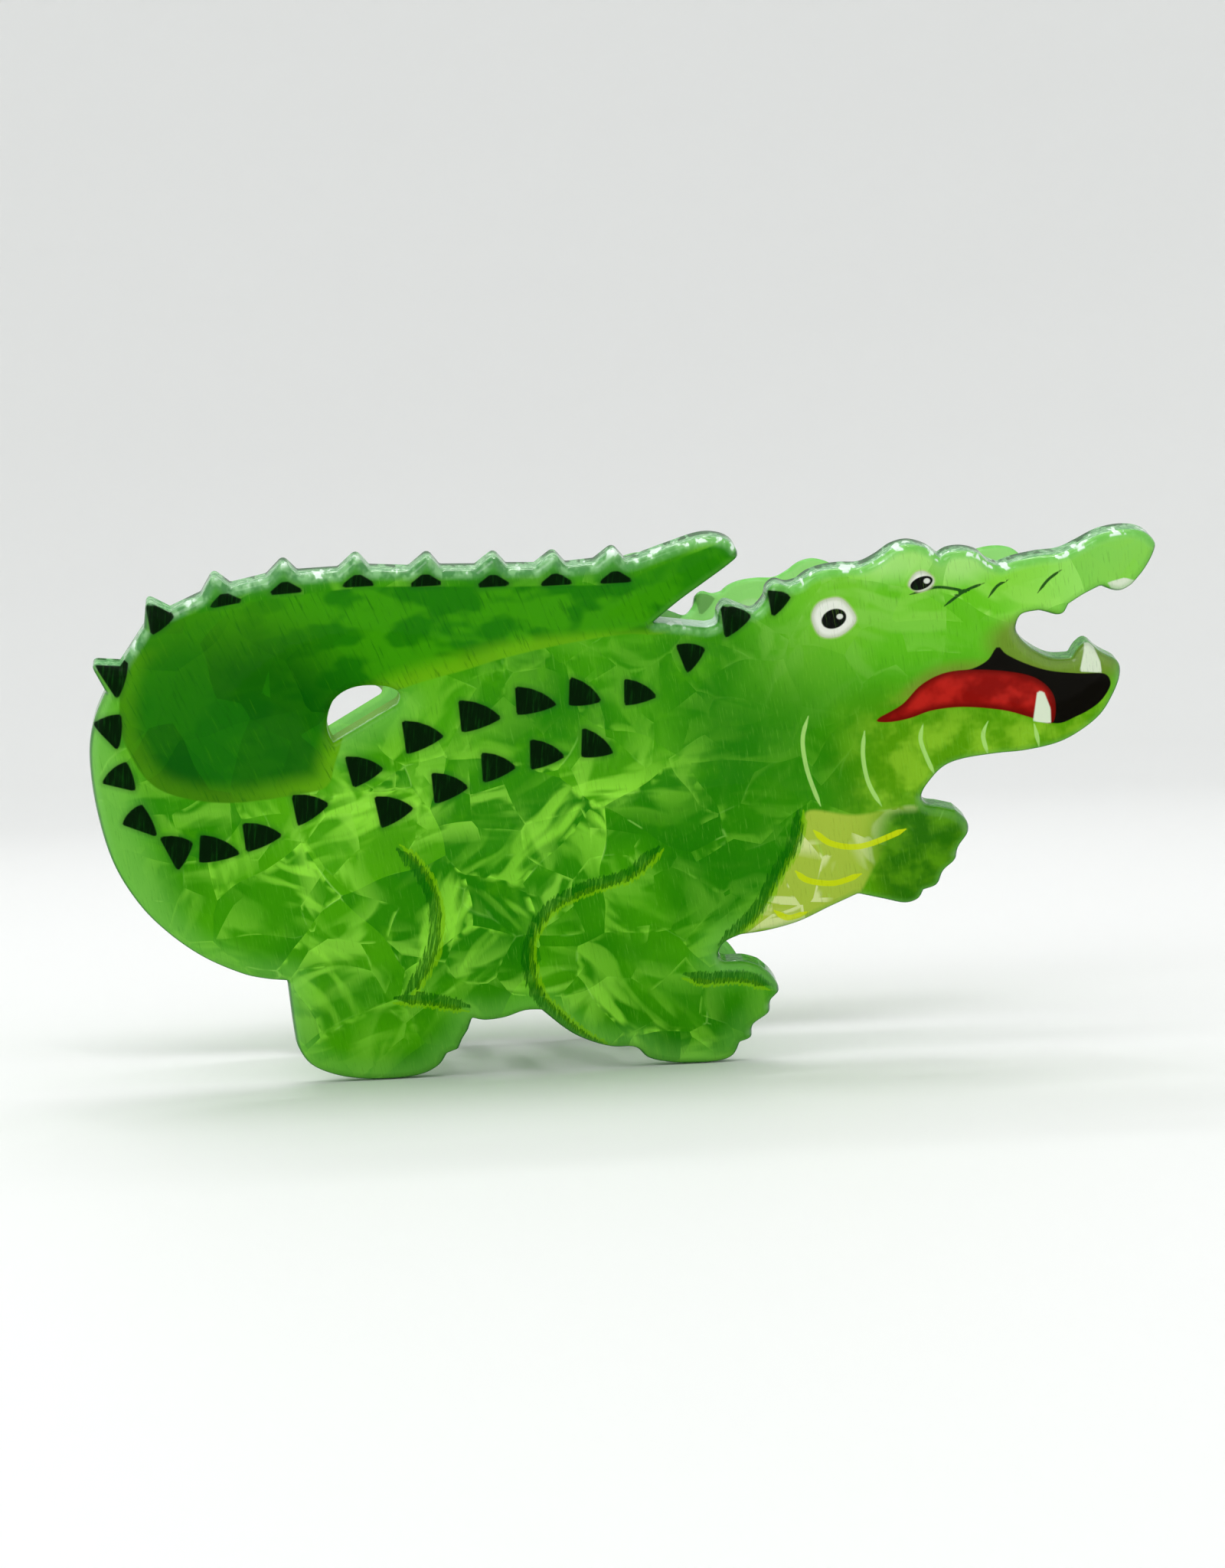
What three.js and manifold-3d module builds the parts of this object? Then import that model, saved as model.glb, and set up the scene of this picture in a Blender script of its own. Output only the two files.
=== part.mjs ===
// Spring claw hair clip: two alligator-shaped acetate plates, hinged back to back, with interlocking combs.
// Millimetres, +Z up. The origin is on the floor, midway between the plates: +X runs towards the heads
// and -Y is the side of the front plate.
import * as THREE from 'three';
import { mergeVertices } from 'three/addons/utils/BufferGeometryUtils.js';
import Module from 'manifold-3d';

const wasm = await Module();
wasm.setup();
const { Manifold, Mesh: ManifoldMesh } = wasm;

// ---- driving dimensions -------------------------------------------------------------------------
const lean = THREE.MathUtils.degToRad(19);   // each plate leans outwards from the floor up
const sheet = 3.2;                           // acetate sheet of the plates
const rim = 0.55;                            // tumbled rounding of the plates' edges
const footHalfGap = 14.4;                    // centre plane to a plate's outer face, at the floor
const bondGap = 0.3;                         // solvent film between bonded pieces
const hingeHeight = 26.5;                    // hinge axis above the floor
const hingeX = -9;                           // middle of the hinge along the body
const pinRadius = 1.0;
const pinHead = 1.9;                         // radius of the pin's two formed heads
const pinHeadLength = 1.2;
const boreRadius = 1.06;                     // running clearance round the pin
const barrelRadius = 2.9;
const knuckleWidth = 3.0;
const sideClearance = 0.4;                   // between neighbours along the pin
const armFrom = 23;                          // height up the plate where a knuckle's pad starts
const armTo = 34;
const wireRadius = 0.45;                     // torsion spring
const coilRadius = 2.5;
const coilTurns = 9;
const coilPitch = 1.22;
const legRise = THREE.MathUtils.degToRad(16); // how steeply the spring's legs rise to the plates
const combSheet = 2.4;
const combFrom = 17.5;                       // height up the plate where a comb's spine starts
const combBend = 11.0;                       // height where its teeth leave the plate
const bendRadius = 5.5;                      // inner radius of the heat-bent teeth
const bendAngle = THREE.MathUtils.degToRad(78);
const toothPitch = 8;
const toothWidth = 3.1;
const toothTipWidth = 1.7;
const frontTeeth = 5;
const rearTeeth = 4;
const toothPastCentre = 1.6;                 // how far a tip crosses the centre plane

// ---- alligator outline: x along the body, v up the plate from the soles of its feet ----------------
const v2 = ([x, v]) => new THREE.Vector2(x, v);

// A smooth stretch through the given points, carrying on from the end of the path.
const smooth = (path, points) => path.splineThru(points.map(v2));

// Straight, clipped stretches.
const straight = (path, points) => points.forEach(([x, v]) => path.lineTo(x, v));

// One back spike: centre of its base, the way it points (degrees to the left of up) and its height.
function spike(path, [x, v, tilt, height]) {
  const a = THREE.MathUtils.degToRad(tilt);
  const at = (along, out) => [
    x + along * Math.cos(a) - out * Math.sin(a),
    v + along * Math.sin(a) + out * Math.cos(a),
  ];
  path.lineTo(...at(1.2, 0));
  path.lineTo(...at(0.35, height * 0.86));
  path.quadraticCurveTo(...at(0, height * 1.1), ...at(-0.4, height * 0.84));
  path.lineTo(...at(-1.7, 0));
}

const tailTip = [[5.0, 47.4], [7.5, 49.2], [9.7, 50.8], [10.5, 51.7], [9.9, 52.9], [8.6, 53.5],
  [6.8, 53.5], [3.9, 52.6], [1.3, 51.7]];
const crestSpikes = [[-1.1, 51.4, 0, 1.2], [-6.6, 51.2, 0, 1.2], [-12.1, 51.3, 0, 1.2],
  [-18.2, 51.4, 0, 1.3], [-24.7, 51.6, 2, 1.3], [-31.3, 51.3, 6, 1.3], [-37.4, 50.1, 16, 1.5],
  [-42.9, 47.7, 32, 1.9], [-47.3, 42.3, 60, 2.2]];
const rump = [[-49.4, 38.0], [-50.0, 34.6], [-49.7, 29.5], [-48.5, 24.0], [-46.4, 19.7], [-43.8, 16.5],
  [-40.6, 13.8], [-37.1, 11.9], [-34.8, 11.2], [-32.7, 10.9]];
const hindLeg = [[-32.3, 6.1], [-31.9, 3.8], [-30.6, 1.8], [-27.8, 0.5], [-24.2, 0.0], [-20.5, 0.2],
  [-18.5, 1.1], [-17.6, 2.4]];
const hindToes = [[-16.5, 2.8], [-16.1, 3.8], [-15.5, 4.8], [-15.1, 6.0]];
const belly = [[-13.8, 5.7], [-11.9, 5.9], [-10.0, 6.5], [-8.4, 6.5]];
const frontLeg = [[-5.9, 4.2], [-3.9, 3.0], [-1.6, 2.2], [0.7, 2.0], [2.0, 0.8], [4.1, 0.2], [6.7, 0.0],
  [9.1, 0.1], [10.4, 0.7], [11.0, 2.0]];
const frontToes = [[12.1, 2.5], [12.3, 3.8], [13.8, 5.0], [14.0, 6.3], [14.8, 7.4], [14.1, 8.9],
  [12.9, 10.1]];
const instep = [[11.4, 10.6], [9.4, 10.7], [8.9, 11.6], [9.5, 12.7], [11.0, 13.4]];
const chest = [[13.6, 13.7], [16.7, 14.5], [19.7, 15.9], [22.4, 17.1]];
const forearm = [[25.0, 16.4], [27.0, 15.9], [28.3, 16.3], [28.8, 17.2]];
const fingers = [[30.1, 17.7], [30.7, 19.1], [31.8, 20.2], [32.1, 21.5], [33.0, 23.0], [32.8, 24.2],
  [31.6, 25.4]];
const throat = [[30.1, 25.8], [28.8, 26.1], [28.4, 27.1], [29.1, 28.4], [30.4, 29.8], [32.2, 30.5],
  [35.3, 30.9], [38.3, 31.1], [41.3, 31.7], [43.5, 32.8], [45.5, 34.5], [46.7, 36.7], [47.2, 38.5],
  [46.9, 39.7], [45.8, 40.4]];
const lowerTooth = [[45.0, 40.9], [43.9, 41.8], [43.0, 41.3], [42.4, 40.3]];
const mouth = [[40.4, 40.4], [38.4, 41.5], [37.2, 42.8], [37.0, 43.8], [37.5, 44.8], [39.1, 45.1]];
const upperTooth = [[39.8, 44.9], [40.8, 44.6], [41.5, 44.8], [41.9, 45.6]];
const upperLip = [[43.3, 46.5], [44.9, 47.3]];
const noseTooth = [[46.1, 46.8], [47.0, 46.8], [47.9, 47.3]];
const snout = [[49.0, 48.7], [49.8, 50.3], [49.9, 51.4], [48.7, 52.5], [46.8, 52.8], [44.6, 52.4],
  [42.6, 51.4], [41.0, 50.7], [38.9, 50.5], [36.7, 50.1], [35.3, 49.6]];
const nearBrow = [[34.1, 50.1], [33.2, 50.9], [31.8, 51.3], [30.4, 51.2], [29.5, 50.7]];
const farBrow = [[28.5, 51.5], [27.3, 52.0], [26.2, 52.1], [24.9, 51.7], [23.6, 50.8], [22.1, 50.1],
  [20.2, 50.1], [18.5, 49.9], [17.1, 49.4], [16.2, 48.7]];
const neckSpikes = [[15.2, 48.5], [14.1, 48.8], [13.3, 48.2], [13.0, 47.1], [12.0, 46.1], [10.8, 46.5],
  [9.4, 47.0], [8.7, 46.2], [8.5, 45.1], [7.6, 44.8]];

function alligator() {
  const o = new THREE.Shape();
  o.moveTo(2.7, 45.5);                         // throat of the slot between the tail and the neck
  smooth(o, tailTip);
  crestSpikes.forEach((s) => spike(o, s));
  smooth(o, rump);
  smooth(o, hindLeg);
  straight(o, hindToes);
  smooth(o, belly);
  smooth(o, frontLeg);
  smooth(o, frontToes);
  smooth(o, instep);
  smooth(o, chest);
  smooth(o, forearm);
  smooth(o, fingers);
  smooth(o, throat);
  smooth(o, lowerTooth);
  smooth(o, mouth);
  smooth(o, upperTooth);
  smooth(o, upperLip);
  smooth(o, noseTooth);
  smooth(o, snout);
  smooth(o, nearBrow);
  smooth(o, farBrow);
  smooth(o, neckSpikes);
  o.closePath();

  // window under the curled tail: an arch over a straight saw cut
  const w = new THREE.Path();
  w.moveTo(-27.4, 35.0);
  w.quadraticCurveTo(-28.5, 36.7, -27.3, 39.0);
  w.bezierCurveTo(-26.0, 40.6, -24.0, 40.5, -22.4, 40.2);
  w.bezierCurveTo(-20.8, 39.8, -21.1, 39.0, -21.4, 38.5);
  w.closePath();
  o.holes.push(w);
  return o;
}

// ---- helpers --------------------------------------------------------------------------------------
// Bare welded triangles of a geometry.
function bare(geometry) {
  const g = geometry.clone();
  for (const name of Object.keys(g.attributes)) if (name !== 'position') g.deleteAttribute(name);
  return mergeVertices(g, 1e-5);
}

function toManifold(geometry) {
  const g = bare(geometry);
  return new Manifold(new ManifoldMesh({
    numProp: 3,
    vertProperties: new Float32Array(g.attributes.position.array),
    triVerts: new Uint32Array(g.index.array),
  }));
}

function toGeometry(solid) {
  const m = solid.getMesh();
  const g = new THREE.BufferGeometry();
  g.setAttribute('position', new THREE.BufferAttribute(new Float32Array(m.vertProperties), 3));
  g.setIndex(new THREE.BufferAttribute(new Uint32Array(m.triVerts), 1));
  g.computeVertexNormals();
  return g;
}

// Turns triangles over where the body is inside out.
function facingOut(geometry) {
  const g = bare(geometry);
  const p = g.attributes.position;
  const i = g.index.array;
  const [a, b, c] = [new THREE.Vector3(), new THREE.Vector3(), new THREE.Vector3()];
  let volume = 0;
  for (let t = 0; t < i.length; t += 3) {
    a.fromBufferAttribute(p, i[t]);
    b.fromBufferAttribute(p, i[t + 1]);
    c.fromBufferAttribute(p, i[t + 2]);
    volume += a.dot(b.cross(c));
  }
  if (volume < 0) for (let t = 0; t < i.length; t += 3) [i[t], i[t + 1]] = [i[t + 1], i[t]];
  g.computeVertexNormals();
  return g;
}

// The frame of the front plate: x along the body, y up the plate, z inwards from its outer face.
const plateFrame = new THREE.Matrix4().makeBasis(
  new THREE.Vector3(1, 0, 0),
  new THREE.Vector3(0, -Math.sin(lean), Math.cos(lean)),
  new THREE.Vector3(0, Math.cos(lean), Math.sin(lean)),
).setPosition(0, -footHalfGap, -rim * Math.sin(lean));

// A point of the front plate's frame as [y, z] of the clip, for profiles drawn across the hinge.
function across(up, inwards) {
  const p = new THREE.Vector3(0, up, inwards).applyMatrix4(plateFrame);
  return [p.y, p.z];
}

// A profile drawn in (y, z) and run along x from x0, centred there if it is told its width.
function alongX(shape, x0, width, curveSegments = 10) {
  const g = new THREE.ExtrudeGeometry(shape, { depth: width, bevelEnabled: false, curveSegments });
  g.applyMatrix4(new THREE.Matrix4().makeBasis(
    new THREE.Vector3(0, 1, 0), new THREE.Vector3(0, 0, 1), new THREE.Vector3(1, 0, 0),
  ).setPosition(x0, 0, 0));
  return g;
}

const mirrored = (geometry) => geometry.clone().applyMatrix4(new THREE.Matrix4().makeScale(1, -1, 1));

// ---- plate ------------------------------------------------------------------------------------------
function plate() {
  const g = new THREE.ExtrudeGeometry(alligator(), {
    depth: sheet - 2 * rim,
    bevelEnabled: true,
    bevelThickness: rim,
    bevelSize: rim * 0.6,
    bevelOffset: -rim * 0.6,
    bevelSegments: 1,
    curveSegments: 2,
  });
  g.translate(0, 0, rim);
  return g.applyMatrix4(plateFrame);
}

// ---- knuckle: a pad on the plate's inner face, an arm and a barrel round the pin -----------------------
function knuckle(xCentre) {
  const inner = sheet + bondGap;
  const low = across(armFrom, inner);
  const high = across(armTo, inner);
  const s = new THREE.Shape();
  s.moveTo(...low);
  const tangent = THREE.MathUtils.degToRad(118);
  const from = [barrelRadius * Math.cos(-tangent), hingeHeight + barrelRadius * Math.sin(-tangent)];
  s.quadraticCurveTo(...across(armFrom + 3.4, inner + 5.5), ...from);
  s.absarc(0, hingeHeight, barrelRadius, -tangent, tangent, false);
  s.quadraticCurveTo(...across(armTo - 6.2, inner + 5.5), ...high);
  s.closePath();
  const bore = new THREE.Path();
  bore.absarc(0, hingeHeight, boreRadius, 0, 2 * Math.PI, true);
  s.holes.push(bore);
  return alongX(s, xCentre - knuckleWidth / 2, knuckleWidth, 14);
}

// ---- comb: a spine bonded inside the plate, with teeth bent in towards the centre plane ---------------
// Profile of a tooth: down the plate, round the bend, then straight on to a rounded tip.
function toothProfile() {
  const inner = sheet + bondGap;
  const centre = inner + bendRadius + combSheet;
  const onBend = (radius, angle) => across(combBend - radius * Math.sin(angle), centre - radius * Math.cos(angle));
  const steps = 7;
  const outer = (k) => onBend(bendRadius + combSheet, (bendAngle * k) / steps);
  const inside = (k) => onBend(bendRadius, (bendAngle * k) / steps);
  // past the bend the tooth runs on at the angle it has there, thinning to its tip
  const [y, z] = onBend(bendRadius + combSheet * 0.45, bendAngle);
  const tip = [toothPastCentre, z + (toothPastCentre - y) * Math.tan(bendAngle + lean - Math.PI / 2)];
  const s = new THREE.Shape();
  s.moveTo(...across(combFrom, inner));
  for (let k = 0; k <= steps; k += 1) s.lineTo(...outer(k));
  s.lineTo(tip[0] - 0.4, tip[1] - 0.55);
  s.quadraticCurveTo(tip[0] + 0.4, tip[1], tip[0] - 0.4, tip[1] + 0.55);
  for (let k = steps; k >= 0; k -= 1) s.lineTo(...inside(k));
  s.lineTo(...across(combFrom, inner + combSheet * 0.7));
  s.closePath();
  return s;
}

function comb(teeth) {
  const length = (teeth - 1) * toothPitch + toothWidth;
  const slab = toManifold(facingOut(alongX(toothProfile(), hingeX - length / 2, length)));
  // the gaps between the teeth, and the taper of the two end ones, cut from below
  const root = across(combBend, sheet + combSheet)[0];
  const top = across(combBend - 0.8, sheet)[1];
  const past = toothPastCentre + 2;
  const cuts = [];
  for (let k = 0; k <= teeth; k += 1) {
    const after = hingeX + (k - (teeth - 1) / 2) * toothPitch;
    const before = after - toothPitch;
    const rootHalf = k === 0 || k === teeth ? toothWidth / 2 + 0.15 : toothWidth / 2;
    const s = new THREE.Shape();
    s.moveTo(before + toothTipWidth / 2, past);
    s.lineTo(before + rootHalf, root + 1.6);
    s.quadraticCurveTo((before + after) / 2, root - 1.6, after - rootHalf, root + 1.6);
    s.lineTo(after - toothTipWidth / 2, past);
    s.closePath();
    const g = new THREE.ExtrudeGeometry(s, { depth: top + 5, bevelEnabled: false, curveSegments: 5 });
    cuts.push(toManifold(facingOut(g.translate(0, 0, -5))));
  }
  return toGeometry(slab.subtract(Manifold.union(cuts)));
}

// ---- hinge pin and torsion spring ----------------------------------------------------------------------
const knuckleOffsets = (() => {
  const coilHalf = (coilTurns * coilPitch) / 2 + wireRadius;
  const innerOne = coilHalf + sideClearance + knuckleWidth / 2;
  return { front: innerOne, rear: innerOne + knuckleWidth + sideClearance };
})();

function hingePin() {
  const half = knuckleOffsets.rear + knuckleWidth / 2 + sideClearance;
  const profile = [
    [0, -half - pinHeadLength], [pinHead * 0.7, -half - pinHeadLength], [pinHead, -half - pinHeadLength * 0.6],
    [pinHead, -half], [pinRadius, -half], [pinRadius, half], [pinHead, half],
    [pinHead, half + pinHeadLength * 0.6], [pinHead * 0.7, half + pinHeadLength], [0, half + pinHeadLength],
  ].map(v2);
  const g = new THREE.LatheGeometry(profile, 28);
  g.rotateZ(-Math.PI / 2);
  return g.translate(hingeX, 0, hingeHeight);
}

// Wire: from the front plate down over the coil, round its turns, and back up to the rear plate.
const legLength = (() => {
  const start = new THREE.Vector2(Math.sin(legRise), Math.cos(legRise)).multiplyScalar(coilRadius);
  const face = v2(across(0, sheet + bondGap + wireRadius));
  const inwards = new THREE.Vector2(Math.cos(lean), Math.sin(lean));
  const way = new THREE.Vector2(-Math.cos(legRise), Math.sin(legRise));
  start.y += hingeHeight;
  return start.sub(face).dot(inwards) / -way.dot(inwards);
})();

class SpringWire extends THREE.Curve {
  getPoint(t, target = new THREE.Vector3()) {
    const coil = coilTurns * coilPitch;
    const legShare = 0.06;                         // of the curve, for each straight leg
    const turned = THREE.MathUtils.clamp((t - legShare) / (1 - 2 * legShare), 0, 1);
    const angle = Math.PI / 2 - legRise - turned * (2 * Math.PI * coilTurns - 2 * legRise);
    const leg = (Math.max(legShare - t, t - 1 + legShare, 0) / legShare) * legLength;
    const side = t < 0.5 ? -1 : 1;
    return target.set(
      hingeX - coil / 2 + turned * coil,
      coilRadius * Math.cos(angle) + side * leg * Math.cos(legRise),
      hingeHeight + coilRadius * Math.sin(angle) + leg * Math.sin(legRise),
    );
  }
}

function torsionSpring() {
  const wire = new THREE.Shape();
  wire.absarc(0, 0, wireRadius, 0, 2 * Math.PI, false);
  return new THREE.ExtrudeGeometry(wire, {
    steps: 190, curveSegments: 4, bevelEnabled: false, extrudePath: new SpringWire(),
  });
}

// ---- assembly ---------------------------------------------------------------------------------------------
const group = new THREE.Group();
group.name = 'alligator_claw_clip';

function add(name, geometry, color, roughness = 0.2, metalness = 0) {
  const mesh = new THREE.Mesh(
    facingOut(geometry),
    new THREE.MeshStandardMaterial({ color, roughness, metalness }),
  );
  mesh.name = name;
  group.add(mesh);
}

const plateGreen = 0x4fb83a;
const innerGreen = 0x3f9c34;
const steel = 0xb9bcc0;

add('front_plate', plate(), plateGreen);
add('rear_plate', mirrored(plate()), plateGreen);
add('front_comb', comb(frontTeeth), innerGreen);
add('rear_comb', mirrored(comb(rearTeeth)), innerGreen);
add('front_knuckle_left', knuckle(hingeX - knuckleOffsets.front), innerGreen);
add('front_knuckle_right', knuckle(hingeX + knuckleOffsets.front), innerGreen);
add('rear_knuckle_left', mirrored(knuckle(hingeX - knuckleOffsets.rear)), innerGreen);
add('rear_knuckle_right', mirrored(knuckle(hingeX + knuckleOffsets.rear)), innerGreen);
add('hinge_pin', hingePin(), steel, 0.25, 1);
add('torsion_spring', torsionSpring(), steel, 0.3, 1);

export default group;
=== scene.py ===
"""Alligator claw clip: pearl acetate plates with a printed face, bent combs, knuckles, pin and torsion spring."""

import math

import bmesh
import bpy
import numpy as np
from mathutils import Matrix, Vector
from mathutils.geometry import delaunay_2d_cdt


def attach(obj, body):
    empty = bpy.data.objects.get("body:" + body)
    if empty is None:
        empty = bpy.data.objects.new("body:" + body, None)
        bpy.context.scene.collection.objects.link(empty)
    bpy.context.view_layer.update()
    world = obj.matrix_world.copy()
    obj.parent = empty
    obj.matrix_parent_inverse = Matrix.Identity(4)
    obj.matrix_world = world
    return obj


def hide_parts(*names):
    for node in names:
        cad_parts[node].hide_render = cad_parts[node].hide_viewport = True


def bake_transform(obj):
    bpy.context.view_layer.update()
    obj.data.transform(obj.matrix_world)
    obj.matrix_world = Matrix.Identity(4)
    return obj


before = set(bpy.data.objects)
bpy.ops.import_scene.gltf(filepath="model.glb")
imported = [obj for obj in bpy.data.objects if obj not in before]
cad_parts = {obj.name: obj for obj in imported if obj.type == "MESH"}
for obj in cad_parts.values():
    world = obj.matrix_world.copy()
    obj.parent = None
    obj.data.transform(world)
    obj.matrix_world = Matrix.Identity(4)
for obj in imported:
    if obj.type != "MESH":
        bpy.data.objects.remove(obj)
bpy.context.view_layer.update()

MM = 0.001

# ---- where the plates stand: the same numbers the solids were made with (millimetres) ---------------------
LEAN = math.radians(19)
SHEET = 3.2
RIM = 0.55
FOOT_HALF_GAP = 14.4
HINGE_HEIGHT = 26.5
HINGE_X = -9.0

UP = np.array([0.0, -math.sin(LEAN), math.cos(LEAN)])
INWARD = np.array([0.0, math.cos(LEAN), math.sin(LEAN)])
FOOT = np.array([0.0, -FOOT_HALF_GAP, -RIM * math.sin(LEAN)])


def on_plate(x, v, depth):
    """Front plate's own coordinates to the clip's, for arrays: along the body, up the plate, inwards."""
    x, v, depth = np.broadcast_arrays(np.asarray(x, float), v, depth)
    along = np.stack([x, np.zeros_like(x), np.zeros_like(x)], -1)
    return along + FOOT + v[..., None] * UP + depth[..., None] * INWARD


# ---- outline of the alligator, x along the body and v up the plate ----------------------------------------
TAIL_TIP = [(5.0, 47.4), (7.5, 49.2), (9.7, 50.8), (10.5, 51.7), (9.9, 52.9), (8.6, 53.5), (6.8, 53.5),
            (3.9, 52.6), (1.3, 51.7)]
# each spike: x, v, tilt in degrees, height
CREST_SPIKES = [(-1.1, 51.4, 0, 1.2), (-6.6, 51.2, 0, 1.2), (-12.1, 51.3, 0, 1.2), (-18.2, 51.4, 0, 1.3),
                (-24.7, 51.6, 2, 1.3), (-31.3, 51.3, 6, 1.3), (-37.4, 50.1, 16, 1.5), (-42.9, 47.7, 32, 1.9),
                (-47.3, 42.3, 60, 2.2)]
RUMP = [(-49.4, 38.0), (-50.0, 34.6), (-49.7, 29.5), (-48.5, 24.0), (-46.4, 19.7), (-43.8, 16.5),
        (-40.6, 13.8), (-37.1, 11.9), (-34.8, 11.2), (-32.7, 10.9)]
HIND_LEG = [(-32.3, 6.1), (-31.9, 3.8), (-30.6, 1.8), (-27.8, 0.5), (-24.2, 0.0), (-20.5, 0.2), (-18.5, 1.1),
            (-17.6, 2.4)]
HIND_TOES = [(-16.5, 2.8), (-16.1, 3.8), (-15.5, 4.8), (-15.1, 6.0)]
BELLY = [(-13.8, 5.7), (-11.9, 5.9), (-10.0, 6.5), (-8.4, 6.5)]
FRONT_LEG = [(-5.9, 4.2), (-3.9, 3.0), (-1.6, 2.2), (0.7, 2.0), (2.0, 0.8), (4.1, 0.2), (6.7, 0.0),
             (9.1, 0.1), (10.4, 0.7), (11.0, 2.0)]
FRONT_TOES = [(12.1, 2.5), (12.3, 3.8), (13.8, 5.0), (14.0, 6.3), (14.8, 7.4), (14.1, 8.9), (12.9, 10.1)]
INSTEP = [(11.4, 10.6), (9.4, 10.7), (8.9, 11.6), (9.5, 12.7), (11.0, 13.4)]
CHEST = [(13.6, 13.7), (16.7, 14.5), (19.7, 15.9), (22.4, 17.1)]
FOREARM = [(25.0, 16.4), (27.0, 15.9), (28.3, 16.3), (28.8, 17.2)]
FINGERS = [(30.1, 17.7), (30.7, 19.1), (31.8, 20.2), (32.1, 21.5), (33.0, 23.0), (32.8, 24.2), (31.6, 25.4)]
THROAT = [(30.1, 25.8), (28.8, 26.1), (28.4, 27.1), (29.1, 28.4), (30.4, 29.8), (32.2, 30.5), (35.3, 30.9),
          (38.3, 31.1), (41.3, 31.7), (43.5, 32.8), (45.5, 34.5), (46.7, 36.7), (47.2, 38.5), (46.9, 39.7),
          (45.8, 40.4)]
LOWER_TOOTH = [(45.0, 40.9), (43.9, 41.8), (43.0, 41.3), (42.4, 40.3)]
MOUTH = [(40.4, 40.4), (38.4, 41.5), (37.2, 42.8), (37.0, 43.8), (37.5, 44.8), (39.1, 45.1)]
UPPER_TOOTH = [(39.8, 44.9), (40.8, 44.6), (41.5, 44.8), (41.9, 45.6)]
UPPER_LIP = [(43.3, 46.5), (44.9, 47.3)]
NOSE_TOOTH = [(46.1, 46.8), (47.0, 46.8), (47.9, 47.3)]
SNOUT = [(49.0, 48.7), (49.8, 50.3), (49.9, 51.4), (48.7, 52.5), (46.8, 52.8), (44.6, 52.4), (42.6, 51.4),
         (41.0, 50.7), (38.9, 50.5), (36.7, 50.1), (35.3, 49.6)]
NEAR_BROW = [(34.1, 50.1), (33.2, 50.9), (31.8, 51.3), (30.4, 51.2), (29.5, 50.7)]
FAR_BROW = [(28.5, 51.5), (27.3, 52.0), (26.2, 52.1), (24.9, 51.7), (23.6, 50.8), (22.1, 50.1), (20.2, 50.1),
            (18.5, 49.9), (17.1, 49.4), (16.2, 48.7)]
NECK_SPIKES = [(15.2, 48.5), (14.1, 48.8), (13.3, 48.2), (13.0, 47.1), (12.0, 46.1), (10.8, 46.5), (9.4, 47.0),
               (8.7, 46.2), (8.5, 45.1), (7.6, 44.8)]
SLOT_THROAT = (2.7, 45.5)


def spline(points, per_span=8, closed=False):
    """Catmull-Rom curve through the points, as an array of (x, v)."""
    p = np.array(points, float)
    n = len(p)
    spans = n if closed else n - 1
    at = (lambda i: p[i % n]) if closed else (lambda i: p[min(max(i, 0), n - 1)])
    t = np.linspace(0, 1, per_span, endpoint=False)[:, None]
    out = []
    for i in range(spans):
        a, b, c, d = at(i - 1), at(i), at(i + 1), at(i + 2)
        out.append(0.5 * (2 * b + (c - a) * t + (2 * a - 5 * b + 4 * c - d) * t**2
                          + (3 * b - a - 3 * c + d) * t**3))
    if not closed:
        out.append(p[-1:])
    return np.concatenate(out)


def bezier(a, b, c, d=None, n=10):
    """Quadratic or cubic curve, as an array of (x, v) that leaves out its first point."""
    t = np.linspace(0, 1, n + 1)[1:, None]
    a, b, c = (np.array(q, float) for q in (a, b, c))
    if d is None:
        return (1 - t)**2 * a + 2 * t * (1 - t) * b + t**2 * c
    d = np.array(d, float)
    return (1 - t)**3 * a + 3 * t * (1 - t)**2 * b + 3 * t**2 * (1 - t) * c + t**3 * d


def spike(x, v, tilt, height):
    """One back spike, with its flanks and rounded top."""
    a = math.radians(tilt)

    def at(along, out):
        return (x + along * math.cos(a) - out * math.sin(a), v + along * math.sin(a) + out * math.cos(a))
    top = at(0.35, height * 0.86)
    return np.concatenate([[at(1.2, 0), top],
                           bezier(top, at(0, height * 1.1), at(-0.4, height * 0.84), n=5), [at(-1.7, 0)]])


def alligator():
    """The outline as one closed loop of (x, v)."""
    loop = np.array([SLOT_THROAT])
    smooth = [TAIL_TIP, None, RUMP, HIND_LEG, HIND_TOES, BELLY, FRONT_LEG, FRONT_TOES, INSTEP, CHEST, FOREARM,
              FINGERS, THROAT, LOWER_TOOTH, MOUTH, UPPER_TOOTH, UPPER_LIP, NOSE_TOOTH, SNOUT, NEAR_BROW, FAR_BROW,
              NECK_SPIKES]
    for points in smooth:
        if points is None:
            for s in CREST_SPIKES:
                loop = np.concatenate([loop, spike(*s)])
        elif points is HIND_TOES:
            loop = np.concatenate([loop, points])
        else:
            loop = np.concatenate([loop, spline([tuple(loop[-1])] + points)[1:]])
    return loop


def tail_window():
    """The opening under the curled tail: an arch over a straight saw cut."""
    loop = np.array([(-27.4, 35.0)])
    for curve in [((-28.5, 36.7), (-27.3, 39.0), None), ((-26.0, 40.6), (-24.0, 40.5), (-22.4, 40.2)),
                  ((-20.8, 39.8), (-21.1, 39.0), (-21.4, 38.5))]:
        b, c, d = curve
        loop = np.concatenate([loop, bezier(loop[-1], b, c, d)])
    return loop


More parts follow.
